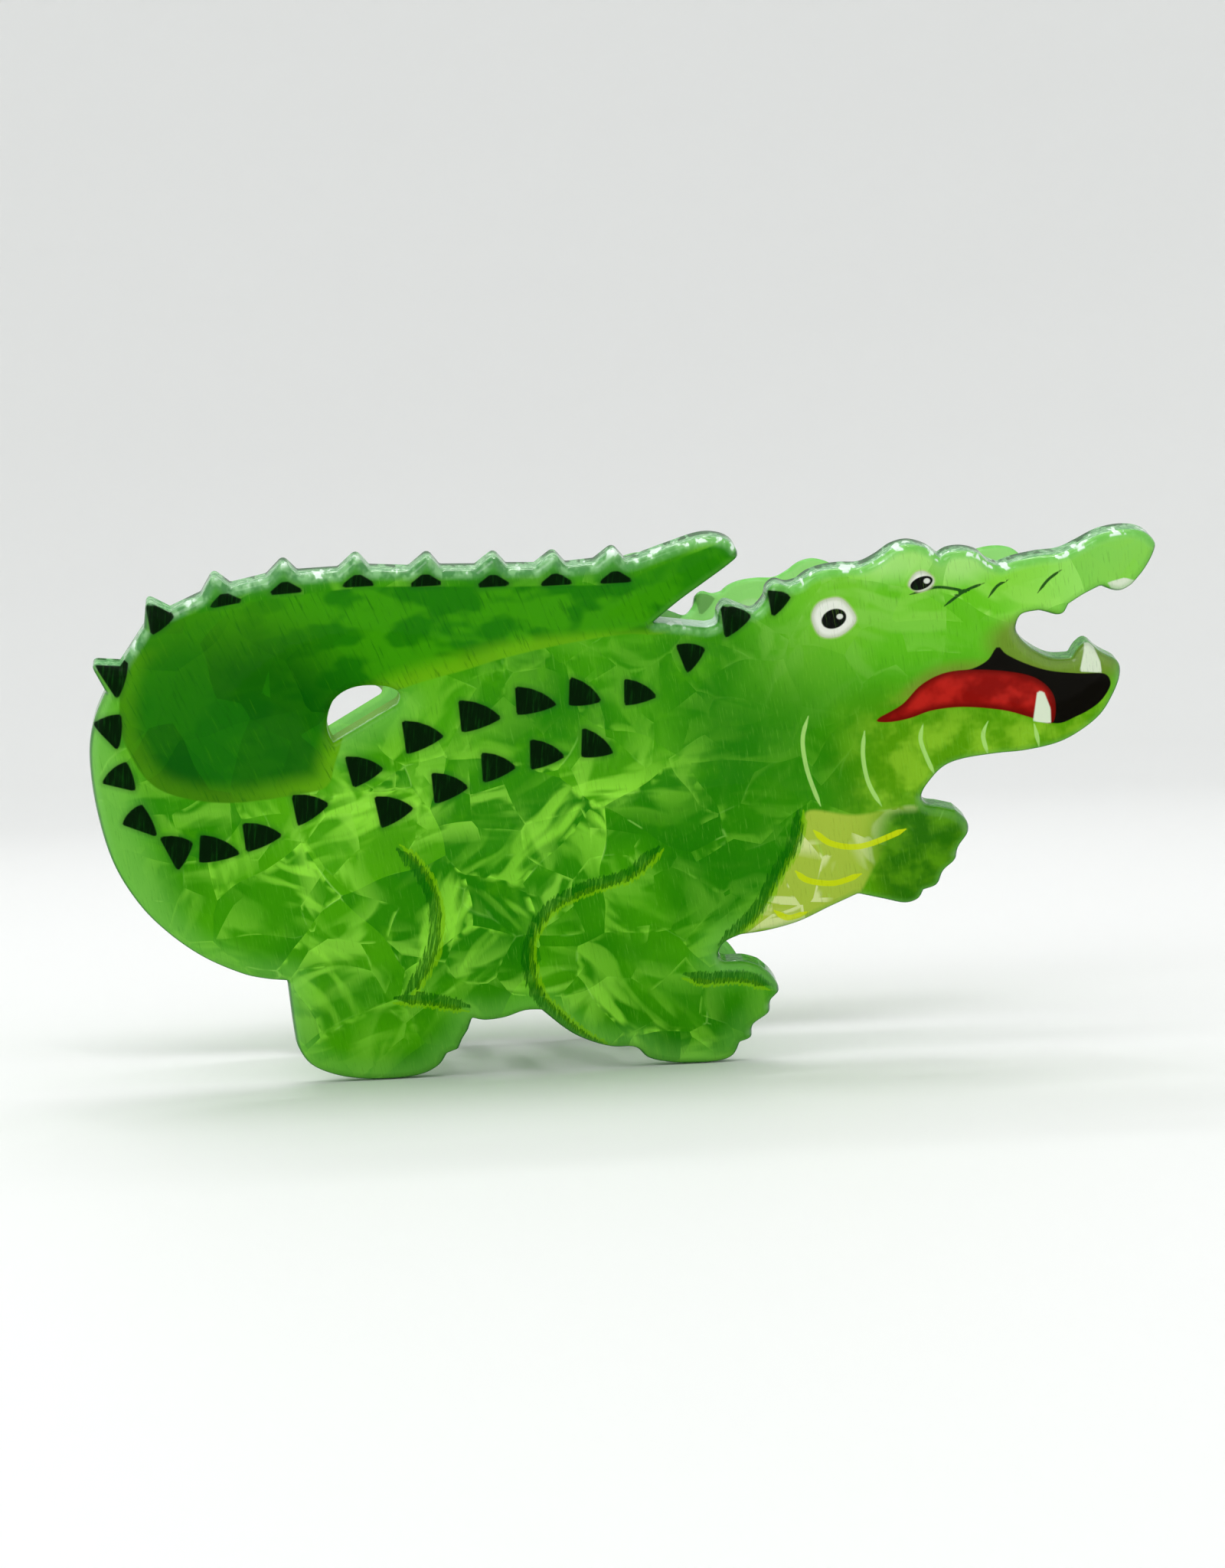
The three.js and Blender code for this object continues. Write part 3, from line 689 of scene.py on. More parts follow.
def plate_acetate():
    material, r, shader = plastic("plate_acetate")
    at = r.attribute("plate")
    x, v, depth = r.split(at)
    face = r.node("ShaderNodeCombineXYZ", X=x, Y=v).outputs[0]
    tail, belly, marks = r.split(r.attribute("ink_body"))
    mouth, tongue, teeth = r.split(r.attribute("ink_mouth"))
    eye, small_eye, _ = r.split(r.attribute("ink_eyes"))
    rim, _, facing_up = r.split(r.attribute("edge"))
    outer = r.step(depth, 1.1, 1.5, (1.0, 0.0))                      # the printed face
    through = r.step(depth, 1.9, 2.3)                               # the plain inner face
    ink = r.math("ADD", outer, r.times(through, 0.4))               # the print shows faintly from inside

    cloud = r.noise(at, 0.085, 2.0)
    fine_cloud = r.noise(r.mapping(at, move=(31, 7, 3)), 0.28, 3.0, 0.6)
    broad = r.place(PEARL, Vector=at, Size=9.5, Fold=0.016)
    small = r.place(PEARL, Vector=r.mapping(at, move=(13.0, 4.0, 1.0)), Size=5.4, Fold=0.026)

    # pearl body: strong angular leaves low down, cloudy towards the back
    pearly = r.times(r.step(v, 38.0, 27.0, (0.3, 1.0)), r.step(x, 14.0, 4.0, (0.45, 1.0)))
    for centre, half, left in CALM_REGIONS:
        pearly = r.times(pearly, r.step(r.spot(face, centre, half, 0, 0.4), 0.0, 1.0, (1.0, left)))
    body = r.mix(r.step(cloud, 0.36, 0.64), srgb(38, 130, 0), srgb(68, 160, 2))
    body = r.ink(body, srgb(86, 174, 8), r.step(broad["Tone"], 0.35, 0.9), pearly, 0.7)
    body = r.ink(body, srgb(26, 120, 2), r.step(broad["Tone"], 0.4, 0.1), pearly, 0.6)
    # painted sheen on the pearl leaves, from both flake sizes
    body = r.ink(body, srgb(150, 232, 62), broad["Sheen"], pearly, 0.9)
    body = r.ink(body, srgb(60, 152, 12), r.step(small["Tone"], 0.5, 0.9), pearly, 0.3)
    body = r.ink(body, srgb(156, 234, 72), small["Sheen"], pearly, 0.6)
    body = r.ink(body, srgb(98, 188, 10), r.step(fine_cloud, 0.55, 0.75), 0.25)

    # head, throat and neck
    head = r.times(r.step(r.math("ADD", x, r.times(v, 0.35)), 22.0, 34.0),
                   r.step(r.math("SUBTRACT", v, r.times(x, 0.12)), 31.0, 40.0))
    head_green = r.mix(r.step(cloud, 0.38, 0.62), srgb(104, 200, 30), srgb(134, 216, 56))
    head_green = r.ink(head_green, srgb(158, 230, 108), r.step(x, 33.0, 47.0))
    # painted sheen on the head's pearl
    head_green = r.ink(head_green, srgb(160, 228, 96), broad["Sheen"], 0.7)
    head_green = r.ink(head_green, srgb(164, 232, 100), small["Sheen"], 0.4)
    # painted highlights on the brow bumps
    for brow in BROW_HIGHLIGHTS:
        head_green = r.ink(head_green, srgb(180, 236, 136), r.spot(face, brow, (3.2, 1.7), 0, 0.7), 0.7)
    head_green = r.ink(head_green, srgb(84, 178, 22), r.step(broad["Tone"], 0.5, 0.56), 0.4)
    head_green = r.ink(head_green, srgb(134, 216, 60), r.step(small["Tone"], 0.6, 0.64), 0.3)
    body = r.ink(body, head_green, head)
    throat_green = r.mix(r.step(fine_cloud, 0.4, 0.62), srgb(92, 158, 6), srgb(140, 196, 40))
    body = r.ink(body, throat_green, r.step(x, 17.0, 25.0), r.step(v, 40.0, 33.0), 0.85)
    body = r.ink(body, srgb(26, 118, 3), r.spot(face, *NECK_REGION), 0.6)

    # tail ink: dark in the curl, leafy along the top, lime where it meets the body
    patches = r.noise(r.mapping(at, (0.6, 1.0, 0.4), (0, 0, 0.4)), 0.3, 2.0, 0.5)
    leaf = r.mix(r.step(patches, 0.44, 0.56), srgb(30, 122, 1), srgb(58, 150, 3))
    leaf = r.ink(leaf, srgb(74, 160, 4), r.spot(face, *TAIL_LIGHT_REGION), 0.7)
    leaf = r.ink(leaf, srgb(46, 140, 3), r.step(broad["Tone"], 0.6, 0.95, (0.0, 0.5)))
    curl_green = r.mix(r.step(small["Tone"], 0.3, 0.8), srgb(3, 84, 1), srgb(16, 104, 2))
    leaf = r.ink(leaf, curl_green, r.spot(face, *CURL_REGION), r.step(broad["Tone"], 0.1, 0.9, (1.0, 0.75)))
    leaf = r.ink(leaf, srgb(112, 182, 14), r.step(tail, 2.6, 0.3), r.step(v, 45.6, 44.0),
                 r.step(x, -40.0, -24.0, (0.3, 0.75)))
    slant = r.brushed(at, -22, 3.6)
    leaf = r.ink(leaf, srgb(12, 94, 2), r.step(slant, 0.55, 0.68), 0.5)
    leaf = r.ink(leaf, srgb(88, 172, 10), r.step(slant, 0.42, 0.3), 0.12)
    border_green = r.mix(r.step(v, 44.0, 48.5), srgb(104, 180, 62), srgb(72, 148, 56))
    body = r.ink(body, border_green, r.step(tail, 0.0, -2.2), r.step(rim, 6.0, 2.0),
                 r.most(r.step(x, -40.0, -46.0), r.step(v, 46.5, 48.5)), r.step(x, 16.0, 6.0), 0.85)
    # painted glow: a paler band inside the lower edges, where light comes through the clear rim
    body = r.ink(body, srgb(118, 194, 76), r.step(rim, 3.4, 0.6), r.step(v, 44.0, 36.0),
                 r.step(x, 16.0, 8.0, (0.0, 0.5)))
    colour = r.ink(body, leaf, r.step(tail, -0.12, 0.12), r.most(outer, 0.35))

    # pale belly, the small arm and the gum
    # the belly's cream is paler where the pearl has its painted sheen
    cream = r.mix(r.step(small["Sheen"], 0.1, 0.7), srgb(170, 196, 66), srgb(214, 228, 150))
    cream = r.ink(cream, srgb(120, 176, 30), r.step(x, 20.0, 26.5, (0.0, 0.45)))
    colour = r.ink(colour, cream, r.step(belly, -0.15, 0.35), ink)
    arm_green = r.mix(r.step(fine_cloud, 0.4, 0.65), srgb(42, 112, 3), srgb(84, 150, 14))
    colour = r.ink(colour, arm_green, r.spot(face, *ARM_REGION), r.step(v, 26.6, 25.2), ink)
    gum = r.spot(face, *GUM_REGION)
    colour = r.ink(colour, srgb(112, 134, 44), gum, 0.8)

    # brush lines round the legs, then the throat, belly and snout lines
    hatch, strands = r.brushed(face, 8, 5.0), r.brushed(face, 8, 7.0)
    strokes = r.attribute("brush")
    lime_line = r.place(DRAWN, Offsets=strokes, Shift=-0.35, Taper=1.0,
                        Half_width=r.step(hatch, 0.36, 0.62, (0.2, 0.5)))["Mask"]
    dark_line = r.place(DRAWN, Offsets=strokes, Shift=0.2, Taper=1.2,
                        Half_width=r.step(hatch, 0.34, 0.64, (0.42, 0.76)))["Mask"]
    colour = r.ink(colour, srgb(124, 190, 2), lime_line, outer, 0.7)
    colour = r.ink(colour, srgb(8, 98, 0), dark_line, r.step(strands, 0.36, 0.56, (0.45, 1.0)), outer, 0.85)
    for layer, half, taper, ink_colour, strength in (("throat", 0.2, 1.2, srgb(176, 226, 120), 0.85),
                                                      ("belly_line", 0.3, 0.8, srgb(206, 224, 8), 0.9),
                                                      ("wrinkle", 0.14, 0.8, srgb(18, 70, 18), 0.95)):
        line = r.place(DRAWN, Offsets=r.attribute(layer), Half_width=half, Taper=taper)["Mask"]
        colour = r.ink(colour, ink_colour, line, strength, ink)

    # mouth, tongue, teeth
    colour = r.ink(colour, srgb(150, 112, 60), r.step(tongue, -1.5, 0.0), 0.4, ink, r.step(v, 36.0, 38.0))
    colour = r.ink(colour, srgb(9, 7, 3), r.step(mouth, -0.07, 0.07), ink)
    red = r.mix(r.step(fine_cloud, 0.4, 0.65), srgb(140, 14, 8), srgb(188, 34, 26))
    red = r.ink(red, srgb(112, 10, 4), r.step(tongue, 0.9, 0.0))
    colour = r.ink(colour, red, r.step(tongue, -0.07, 0.07), ink)
    colour = r.ink(colour, srgb(222, 234, 208), r.step(teeth, -0.1, 0.06), ink)

    # eyes
    for white, (centre, half, glint) in ((eye, LARGE_PUPIL), (small_eye, SMALL_PUPIL)):
        colour = r.ink(colour, srgb(196, 206, 150), r.step(white, -0.22, -0.04), 0.45, ink)
        shade = r.mix(r.step(white, 0.0, 0.5), srgb(196, 206, 180), srgb(236, 240, 228))
        colour = r.ink(colour, shade, r.step(white, -0.06, 0.06), ink)
        colour = r.ink(colour, srgb(9, 12, 9), r.spot(face, centre, half, -20, 0.07), ink)
        colour = r.ink(colour, srgb(220, 226, 214), r.spot(face, glint, (0.3, 0.26), 0, 0.25), ink)

    # painted bright glints along the pearl's folds, polishing lines, and the paler inner face
    fold_glints = r.most(r.times(broad["Fold"], pearly), r.times(small["Fold"], pearly, 0.35))
    plain = r.step(r.most(marks, mouth, tongue, tail), 0.1, -0.3)
    colour = r.ink(colour, srgb(164, 236, 100), fold_glints, 0.45, plain)
    polish = r.brushed(at, -9, 6.5)
    colour = r.ink(colour, srgb(22, 100, 4), r.step(polish, 0.56, 0.7), plain, 0.26)
    colour = r.ink(colour, srgb(150, 222, 80), r.step(polish, 0.44, 0.3), plain, 0.14)
    # the inner face is plain acetate, paler than the print; paler still towards the top, a painted glow of light
    # coming through the plate
    colour = r.ink(colour, srgb(152, 218, 130), through, r.step(v, 42.0, 46.0, (0.38, 0.7)))

    # rounded rims, painted light: pale mint glass where they face up to the light, a painted dark shade line where
    # the others turn away
    crown = r.times(r.step(v, 42.0, 44.0), r.step(r.spot(face, *JAW_GAP_REGION), 0.6, 0.1))
    upward = r.step(facing_up, 0.1, 0.5)
    top = r.times(upward, crown)
    sill = r.spot(face, *SILL_REGION)
    # the glass colour is painted light through the clear rim, streaked by this noise
    rim_noise = r.noise(r.mapping(at, (1.0, 0.8, 0.6)), 0.9, 2.0)
    glass_and_top_light = r.mix(r.step(rim_noise, 0.42, 0.6), srgb(70, 138, 74), srgb(138, 196, 134))
    glass_and_top_light = r.ink(glass_and_top_light, srgb(110, 204, 72), r.step(x, -10.0, 24.0, (0.0, 0.75)))
    glass_and_top_light = r.mix(top, srgb(92, 176, 44), glass_and_top_light)
    colour = r.ink(colour, glass_and_top_light, r.step(rim, 0.95, 0.25), r.step(top, 0.0, 1.0, (0.4, 0.8)),
                   r.step(r.most(r.spot(face, *WINDOW_REGION), gum), 1.0, 0.0))
    # painted shade: a thin dark line along the rims that turn away
    colour = r.ink(colour, srgb(12, 88, 34), r.step(rim, 0.4, 0.12),
                   r.step(r.most(top, sill, r.times(upward, 0.7)), 1.0, 0.0, (0.0, 0.75)))

    # marks down the back and sides
    dark = r.mix(r.step(r.brushed(face, 6, 4.0), 0.5, 0.72), srgb(3, 26, 3), srgb(10, 58, 8))
    colour = r.ink(colour, srgb(10, 70, 30), r.step(marks, -0.8, -0.2), 0.3, ink)
    colour = r.ink(colour, dark, r.step(marks, -0.3, -0.14), ink)

    # sawn walls: saw-mark tone under painted light, pale mint where they face up along the top, mid green where lower
    # walls face up, darker green where they face away, and painted dark shade towards the back edge and in stripes
    saw = r.noise(r.mapping(at, (1.0, 1.0, 3.0)), 1.6, 3.0, 0.7)
    shade_stripes = r.step(r.noise(r.mapping(at, (1.0, 0.4, 0.1)), 0.5, 1.0), 0.46, 0.54)
    wall = r.mix(r.step(saw, 0.45, 0.62), srgb(96, 166, 100), srgb(164, 216, 160))
    wall = r.ink(wall, srgb(14, 84, 22), r.step(depth, 1.4, 2.2), r.most(shade_stripes, r.step(depth, 2.45, 2.8)))
    wall = r.mix(top, r.mix(r.step(saw, 0.4, 0.6), srgb(30, 110, 26), srgb(64, 142, 42)), wall)
    wall = r.ink(wall, r.mix(r.step(saw, 0.42, 0.62), srgb(48, 136, 26), srgb(96, 184, 66)),
                 upward, r.step(crown, 0.5, 0.0), 0.85)
    ledge = r.times(r.spot(face, *LEDGE_REGION), r.step(saw, 0.3, 0.6, (0.6, 1.0)))
    wall = r.ink(wall, srgb(206, 242, 214), ledge)
    ragged = r.step(r.math("ADD", depth, r.times(saw, 1.2)), 1.5, 1.2)
    wall = r.ink(wall, r.mix(ragged, srgb(128, 184, 70), srgb(190, 226, 180)), sill)
    colour = r.ink(colour, wall, r.step(rim, 0.1, 0.0))

    # painted shade in the troughs and painted small glints on the crest, between the spikes
    between = r.times(top, r.step(marks, -1.3, -1.9))
    colour = r.ink(colour, srgb(16, 92, 18), between, r.step(depth, 1.1, 1.6), r.step(depth, 2.7, 2.3),
                   r.step(ledge, 0.1, 0.0), r.step(rim_noise, 0.5, 0.4))
    colour = r.ink(colour, srgb(226, 248, 230), r.step(rim_noise, 0.57, 0.63), between, r.step(rim, 0.5, 0.3),
                   r.step(depth, 2.0, 1.4))

    leaves = r.math("ADD", r.times(broad["Height"], pearly), r.times(small["Height"], pearly, 0.35))
    sawn = r.times(saw, r.step(rim, 0.3, 0.0, (0.0, 0.8)))
    coat = r.times(r.step(rim, 1.1, 0.4, (0.06, 0.9)), r.step(marks, -0.3, -0.1, (1.0, 0.08)),
                   r.step(depth, 2.2, 2.9, (1.0, 0.25)), r.step(facing_up, 0.0, -0.4, (1.0, 0.15)),
                   r.step(sill, 0.0, 1.0, (1.0, 0.15)))
    r.fill(shader, Base_Color=colour, Normal=r.bump(0.35, 0.0006, r.math("ADD", leaves, sawn)),
           Roughness=r.step(fine_cloud, 0.3, 0.7, (0.34, 0.5)), Coat_Weight=coat, Specular_IOR_Level=0.02,
           Coat_Roughness=0.04)
    return material


def inner_acetate():
    """Plain pearl acetate of the combs and knuckles, in the clip's own coordinates."""
    material, r, shader = plastic("inner_acetate")
    at = r.mapping(r.node("ShaderNodeTexCoord").outputs["Object"], (1000, 1000, 1000))
    cloud = r.noise(at, 0.09, 2.0)
    leaves = r.place(PEARL, Vector=at, Size=5.0, Fold=0.04)
    colour = r.mix(r.step(cloud, 0.36, 0.64), srgb(46, 130, 8), srgb(88, 172, 30))
    colour = r.ink(colour, srgb(112, 188, 56), r.step(leaves["Tone"], 0.4, 1.0), 0.5)
    # painted sheen on the leaves and painted bright glints along their folds
    colour = r.ink(colour, srgb(150, 224, 100), leaves["Sheen"], 0.7)
    colour = r.ink(colour, srgb(190, 236, 150), leaves["Fold"], 0.5)
    r.fill(shader, Base_Color=colour, Normal=r.bump(0.3, 0.0005, leaves["Height"]),
           Roughness=r.step(cloud, 0.3, 0.7, (0.26, 0.4)), Specular_IOR_Level=0.1, Coat_Weight=0.8,
           Coat_IOR=1.25, Coat_Roughness=0.06)
    return material


def bright_steel(name, low, high):
    """Plated steel with fine drawing marks and a little tarnish."""
    material, r, shader = plastic(name, srgb(190, 192, 196))
    at = r.mapping(r.node("ShaderNodeTexCoord").outputs["Object"], (1000, 1000, 1000))
    drawing = r.noise(r.mapping(at, (0.3, 2.2, 2.2)), 2.4, 3.0, 0.6)
    tarnish = r.noise(at, 0.5, 2.0)
    r.fill(shader, Base_Color=r.mix(r.step(tarnish, 0.4, 0.7), srgb(206, 208, 212), srgb(168, 168, 166)),
           Roughness=r.step(drawing, 0.3, 0.7, (low, high)), Normal=r.bump(0.15, 0.00005, drawing),
           Metallic=1.0)
    return material


PLATE_ACETATE = plate_acetate()
INNER_ACETATE = inner_acetate()
PIN_STEEL = bright_steel("pin_steel", 0.12, 0.24)
SPRING_STEEL = bright_steel("spring_steel", 0.2, 0.34)
stands_in(front_acetate, PLATE_ACETATE, "front_half", "front_plate")
stands_in(rear_acetate, PLATE_ACETATE, "rear_half", "rear_plate")


# ---- combs: cut flat, tumbled, then bent round a former -------------------------------------------------------
BOND_GAP = 0.3
COMB_SHEET = 2.4
COMB_FROM, COMB_BEND = 17.5, 11.0
BEND_RADIUS = 5.5
BEND_ANGLE = math.radians(78)
TOOTH_PITCH, TOOTH_WIDTH, TOOTH_TIP = 8.0, 3.1, 1.7
TOOTH_PAST_CENTRE = 1.6
COMB_ROUND = 0.7
INNER = SHEET + BOND_GAP
MID_RADIUS = BEND_RADIUS + COMB_SHEET * 0.55
ON_PLATE = COMB_FROM - COMB_BEND
BEND_LENGTH = MID_RADIUS * BEND_ANGLE
BEND_CENTRE = INNER + BEND_RADIUS + COMB_SHEET
BEND_END = on_plate(0, COMB_BEND - MID_RADIUS * math.sin(BEND_ANGLE), BEND_CENTRE - MID_RADIUS * math.cos(BEND_ANGLE))
TIP_LENGTH = (TOOTH_PAST_CENTRE - BEND_END[1]) / math.cos(BEND_ANGLE + LEAN - math.pi / 2)


def comb_outline(teeth):
    """Flat pattern of a comb: x along it, and minus the run from the spine's top to the tooth tips."""
    half = ((teeth - 1) * TOOTH_PITCH + TOOTH_WIDTH) / 2
    root, tip = -(ON_PLATE + 1.6), -(ON_PLATE + BEND_LENGTH + TIP_LENGTH)
    loop = [(HINGE_X + half, 0.0), (HINGE_X - half, 0.0)]
    for k in range(teeth):
        x = HINGE_X + (k - (teeth - 1) / 2) * TOOTH_PITCH
        last = k == teeth - 1
        loop += [(x - TOOTH_WIDTH / 2, root - 3.2), (x - TOOTH_TIP / 2 - 0.1, tip + 1.2)]
        loop += [tuple(p) for p in bezier((x - TOOTH_TIP / 2 - 0.1, tip + 1.2), (x - TOOTH_TIP / 2, tip),
                                          (x + TOOTH_TIP / 2, tip), (x + TOOTH_TIP / 2 + 0.1, tip + 1.2), n=8)]
        loop.append((x + TOOTH_WIDTH / 2, root - 3.2))
        if not last:
            a = x + TOOTH_WIDTH / 2
            loop += [tuple(p) for p in bezier((a, root - 3.2), (a + 0.1, root + 0.6),
                                              (a + TOOTH_PITCH - TOOTH_WIDTH - 0.1, root + 0.6),
                                              (a + TOOTH_PITCH - TOOTH_WIDTH, root - 3.2), n=12)][:-1]
    return np.array(loop)


def bent(x, v, depth):
    """Where a point of a comb stands once bent, and its directions there."""
    run = -v
    angle = np.clip((run - ON_PLATE) / MID_RADIUS, 0, BEND_ANGLE)
    past = np.maximum(run - ON_PLATE - BEND_LENGTH, 0)
    thin = 1 - 0.42 * np.clip(past / TIP_LENGTH, 0, 1)
    off_middle = (depth - COMB_SHEET * 0.45) * thin
    radius = MID_RADIUS - off_middle
    up = COMB_FROM - np.minimum(run, ON_PLATE) - radius * np.sin(angle) - past * np.cos(angle)
    inwards = BEND_CENTRE - radius * np.cos(angle) + past * np.sin(angle)
    c, s = np.cos(angle)[:, None], np.sin(angle)[:, None]
    return (on_plate(x, up, inwards), np.ones((len(x), 1)) * np.array([1.0, 0, 0]),
            c * UP - s * INWARD, s * UP + c * INWARD)


def make_comb(name, teeth, rear, body, node):
    cut = cut_sheet(comb_outline(teeth), None, COMB_ROUND, 0.3, 0.6)
    obj = make_sheet(name, cut, COMB_SHEET, COMB_ROUND, bent, rear)
    stands_in(obj, INNER_ACETATE, body, node)


make_comb("front_comb_bent", 5, False, "front_half", "front_comb")
make_comb("rear_comb_bent", 4, True, "rear_half", "rear_comb")


# ---- knuckles, pin and spring ---------------------------------------------------------------------------------
BARREL_RADIUS, BORE_RADIUS = 2.9, 1.06
KNUCKLE_WIDTH, SIDE_CLEARANCE, KNUCKLE_ROUND = 3.0, 0.4, 0.45
ARM_FROM, ARM_TO = 23.0, 34.0
PIN_RADIUS, PIN_HEAD, PIN_HEAD_LENGTH = 1.0, 1.9, 1.2
WIRE_RADIUS, COIL_RADIUS, COIL_TURNS, COIL_PITCH = 0.45, 2.5, 9, 1.22
LEG_RISE = math.radians(16)
COIL_HALF = COIL_TURNS * COIL_PITCH / 2 + WIRE_RADIUS
FRONT_KNUCKLE = COIL_HALF + SIDE_CLEARANCE + KNUCKLE_WIDTH / 2
REAR_KNUCKLE = FRONT_KNUCKLE + KNUCKLE_WIDTH + SIDE_CLEARANCE


def across(v, depth):
    """(y, z) of a point of the front plate's section."""
    return on_plate(0, v, depth)[1:]


def knuckle_profile():
    """Side view of a knuckle: pad, arm and barrel, and the bore."""
    low, high = across(ARM_FROM, INNER), across(ARM_TO, INNER)
    tangent = math.radians(118)
    arc = np.linspace(-tangent, tangent, 40)
    barrel = np.stack([BARREL_RADIUS * np.cos(arc), HINGE_HEIGHT + BARREL_RADIUS * np.sin(arc)], -1)
    loop = np.concatenate([[low], bezier(low, across(ARM_FROM + 3.4, INNER + 5.5), barrel[0], n=12), barrel[1:],
                           bezier(barrel[-1], across(ARM_TO - 6.2, INNER + 5.5), high, n=12)])
    turn = np.linspace(0, 2 * math.pi, 40, endpoint=False)
    bore = np.stack([BORE_RADIUS * np.cos(turn), HINGE_HEIGHT + BORE_RADIUS * np.sin(turn)], -1)
    return loop, bore


def make_knuckle(name, x, rear, body, node):
    """The profile cut as a thick sheet, standing across the pin."""
    loop, bore = knuckle_profile()
    cut = cut_sheet(loop, bore, KNUCKLE_ROUND, EDGE_STEP, 0.5)

    def place(y, z, depth):
        one = np.ones((len(y), 1))
        position = np.stack([x + KNUCKLE_WIDTH / 2 - depth, y, z], -1)
        return position, one * np.array([0, 1.0, 0]), one * np.array([0, 0, 1.0]), one * np.array([-1.0, 0, 0])
    obj = make_sheet(name, cut, KNUCKLE_WIDTH, KNUCKLE_ROUND, place, rear)
    stands_in(obj, INNER_ACETATE, body, node)


for half, offset, rear in (("front", FRONT_KNUCKLE, False), ("rear", REAR_KNUCKLE, True)):
    for side, sign in (("left", -1), ("right", 1)):
        make_knuckle(f"{half}_{side}_barrel", HINGE_X + sign * offset, rear, f"{half}_half",
                     f"{half}_knuckle_{side}")


def turned_pin():
    """The pin with its two formed, domed heads."""
    half = REAR_KNUCKLE + KNUCKLE_WIDTH / 2 + SIDE_CLEARANCE
    dome = [(PIN_HEAD * math.cos(a), half + 0.35 + (PIN_HEAD_LENGTH - 0.35) * math.sin(a))
            for a in np.radians(np.arange(0, 90, 10))]
    side = [(PIN_RADIUS, 0.0), (PIN_RADIUS, half - 0.12), (PIN_RADIUS + 0.1, half), (PIN_HEAD - 0.12, half),
            (PIN_HEAD, half + 0.12)] + dome
    profile = [(rad, -along) for rad, along in reversed(side[1:])] + side
    turns, verts = 48, []
    for rad, along in profile:
        verts += [(HINGE_X + along, rad * math.cos(t), HINGE_HEIGHT + rad * math.sin(t))
                  for t in np.linspace(0, 2 * math.pi, turns, endpoint=False)]
    verts += [(HINGE_X + end * (half + PIN_HEAD_LENGTH), 0, HINGE_HEIGHT) for end in (-1, 1)]
    obj = new_object("domed_pin", np.array(verts) * MM, tube_faces(len(profile), turns))
    facing_out(obj)
    obj.data.set_sharp_from_angle(angle=math.radians(40))
    return obj


def facing_out(obj):
    """Turns every face outwards."""
    bm = bmesh.new()
    bm.from_mesh(obj.data)
    bmesh.ops.recalc_face_normals(bm, faces=bm.faces)
    bm.to_mesh(obj.data)
    bm.free()


def spring_path():
    """Centre line of the wire: from the front plate down over the coil, round it, and up to the rear plate."""
    face = np.array(across(0, INNER + WIRE_RADIUS))
    start = COIL_RADIUS * np.array([math.sin(LEG_RISE), math.cos(LEG_RISE)]) + (0, HINGE_HEIGHT)
    inwards = np.array([math.cos(LEAN), math.sin(LEAN)])
    way = np.array([-math.cos(LEG_RISE), math.sin(LEG_RISE)])
    leg = float((start - face) @ inwards / -(way @ inwards))
    coil = COIL_TURNS * COIL_PITCH
    turned = np.linspace(0, 1, COIL_TURNS * 32 + 1)
    angle = math.pi / 2 - LEG_RISE - turned * (2 * math.pi * COIL_TURNS - 2 * LEG_RISE)
    middle = np.stack([HINGE_X - coil / 2 + turned * coil, COIL_RADIUS * np.cos(angle),
                       HINGE_HEIGHT + COIL_RADIUS * np.sin(angle)], -1)
    out = np.linspace(1, 0, 14, endpoint=False)[:, None] * leg
    rise = np.array([0, 0, math.sin(LEG_RISE)])
    first = middle[0] + out * (rise - (0, math.cos(LEG_RISE), 0))
    final = middle[-1] + out[::-1] * (rise + (0, math.cos(LEG_RISE), 0))
    return np.concatenate([first, middle, final])


def round_wire(name, path, radius, sides=14):
    """A round wire along a path, with domed ends."""
    ahead = np.gradient(path, axis=0)
    ahead /= np.linalg.norm(ahead, axis=1)[:, None]
    side = np.array([1.0, 0, 0]) - ahead[:, :1] * ahead
    side /= np.linalg.norm(side, axis=1)[:, None]
    other = np.cross(ahead, side)
    turn = np.linspace(0, 2 * math.pi, sides, endpoint=False)
    ring = np.cos(turn)[None, :, None] * side[:, None] + np.sin(turn)[None, :, None] * other[:, None]
    size = np.full(len(path), radius)
    size[[0, -1]] = radius * 0.6
    size[[1, -2]] = radius * 0.92
    verts = (path[:, None] + ring * size[:, None, None]).reshape(-1, 3)
    verts = np.concatenate([verts, path[:1], path[-1:]])
    obj = new_object(name, verts * MM, tube_faces(len(path), sides))
    facing_out(obj)
    return obj


stands_in(turned_pin(), PIN_STEEL, "front_half", "hinge_pin")

spring = round_wire("wound_spring", spring_path(), WIRE_RADIUS)
spring.data.materials.append(SPRING_STEEL)
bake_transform(spring)
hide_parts("torsion_spring")


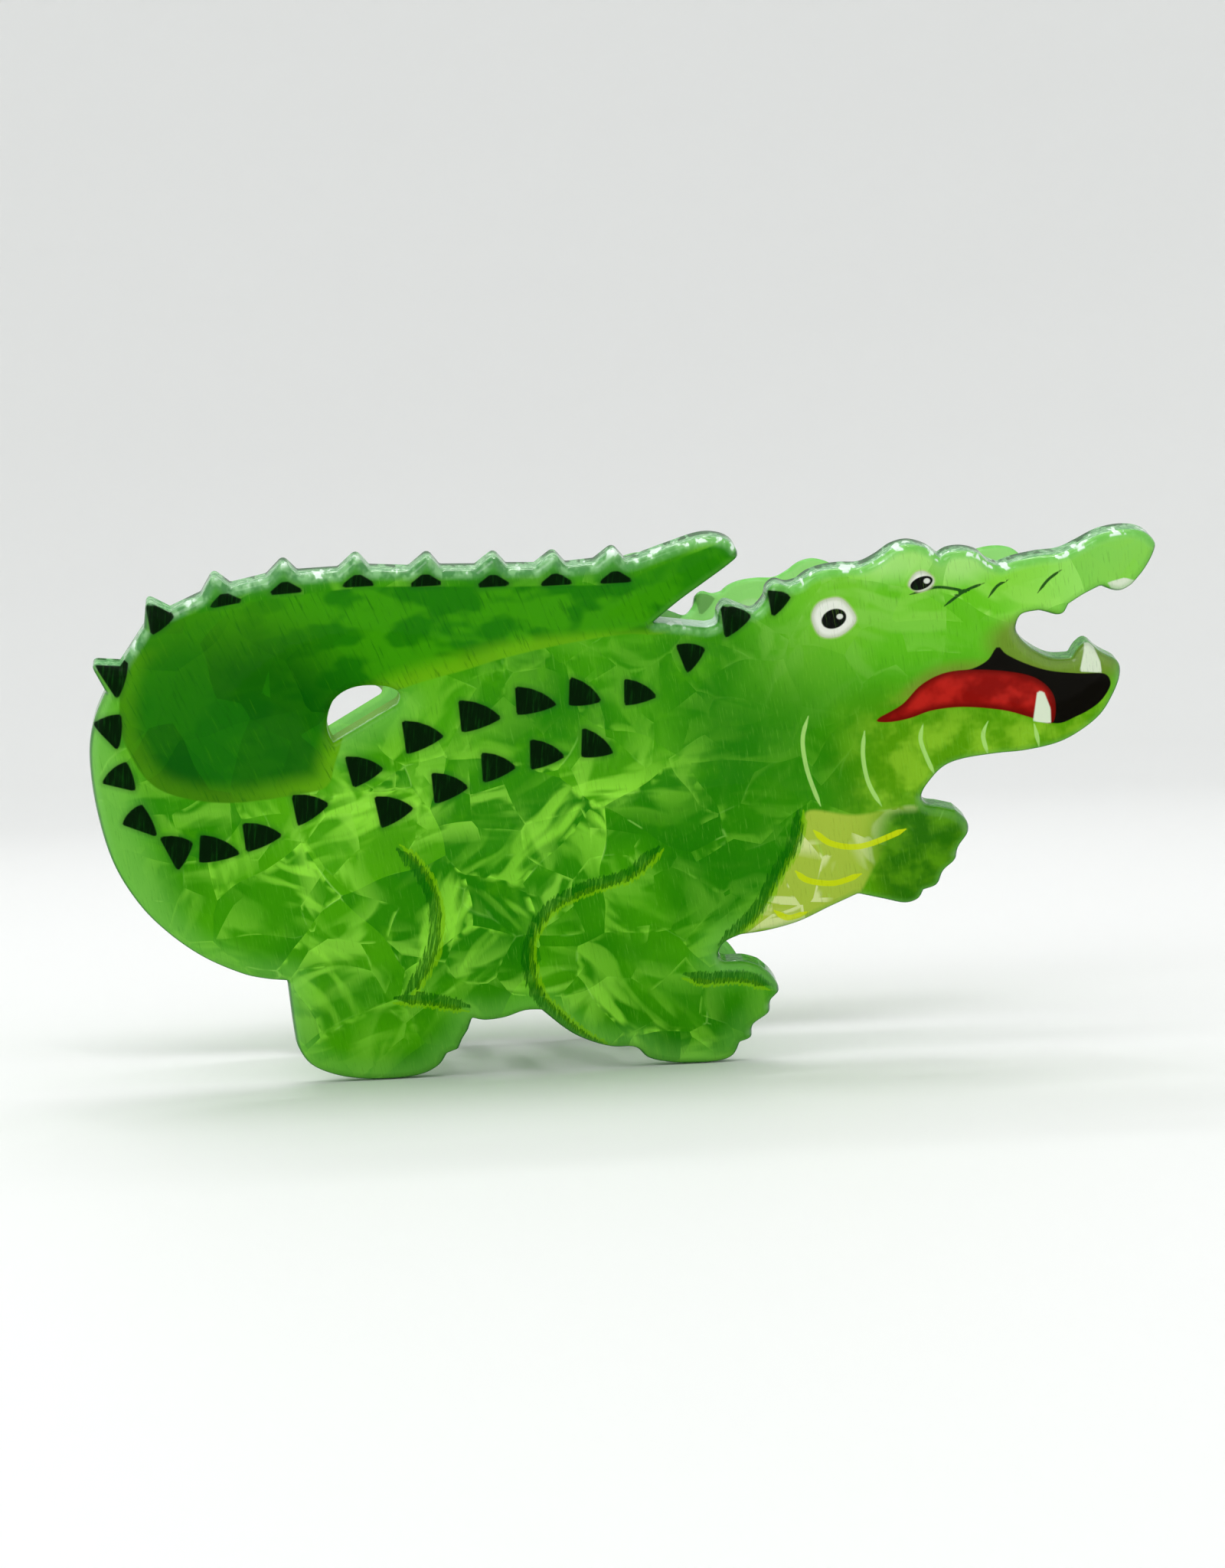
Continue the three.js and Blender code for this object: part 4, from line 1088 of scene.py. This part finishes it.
# ---- camera, floor and light -----------------------------------------------------------------------------------
camera_data = bpy.data.cameras.new("camera")
camera_data.lens = 80.54947
camera_data.sensor_width = 36
camera_data.clip_start = 0.01
camera = bpy.data.objects.new("camera", camera_data)
bpy.context.scene.collection.objects.link(camera)
camera.matrix_world = Matrix(((0.9946452, 0.0439513, -0.0935368, -0.0322999),
                              (-0.0949944, 0.0323335, -0.9949526, -0.3531171),
                              (-0.0407051, 0.9985103, 0.0363355, 0.0400),
                              (0, 0, 0, 1)))
bpy.context.scene.camera = camera
bpy.context.scene.view_settings.view_transform = "Standard"

world = bpy.data.worlds.new("studio")
bpy.context.scene.world = world
world.use_nodes = True
Recipe(world.node_tree).fill(world.node_tree.nodes["Background"], Color=(1.0, 0.995, 0.99, 1), Strength=0.9)


def sweep():
    """Pale floor that curves up into a backdrop on every side, so that any view has the same ground."""
    rings, turns = [], 72
    profile = [(0.0, 0.0), (0.6, 0.0)]
    profile += [(0.6 + 0.5 * math.sin(a), 0.5 - 0.5 * math.cos(a)) for a in np.radians(np.arange(10, 91, 10))]
    profile += [(1.1, 1.6)]
    verts = [(0.0, 0.0, 0.0)]
    for radius, height in profile[1:]:
        rings.append(len(verts))
        verts += [(radius * math.cos(t), radius * math.sin(t), height)
                  for t in np.linspace(0, 2 * math.pi, turns, endpoint=False)]
    faces = [(0, rings[0] + k, rings[0] + (k + 1) % turns) for k in range(turns)]
    for a, b in zip(rings, rings[1:]):
        faces += [(a + k, b + k, b + (k + 1) % turns, a + (k + 1) % turns) for k in range(turns)]
    return new_object("pale_floor", verts, faces)


floor = sweep()
floor_material, r, shader = plastic("pale_floor", (0.86, 0.87, 0.865, 1))
r.fill(shader, Roughness=0.55, Specular_IOR_Level=0.25)
floor.data.materials.append(floor_material)


def softbox(name, at, target, size, power):
    """A rectangular light that faces its target."""
    data = bpy.data.lights.new(name, "AREA")
    data.shape = "RECTANGLE"
    data.size, data.size_y = size
    data.energy = power
    obj = bpy.data.objects.new(name, data)
    bpy.context.scene.collection.objects.link(obj)
    obj.location = at
    way = Vector(target) - Vector(at)
    obj.rotation_euler = way.to_track_quat("-Z", "Y").to_euler()


softbox("overhead", (0.0, -0.05, 0.8), (0, 0, 0.02), (0.7, 0.5), 1.1)
softbox("window", (-0.5, -0.6, 0.55), (0, 0, 0.02), (0.5, 0.5), 2.0)
softbox("top_strip", (0.05, 0.02, 0.7), (0, 0, 0.04), (0.5, 0.025), 0.6)
softbox("back_strip", (-0.1, 0.45, 0.55), (0, 0, 0.04), (0.4, 0.03), 0.6)
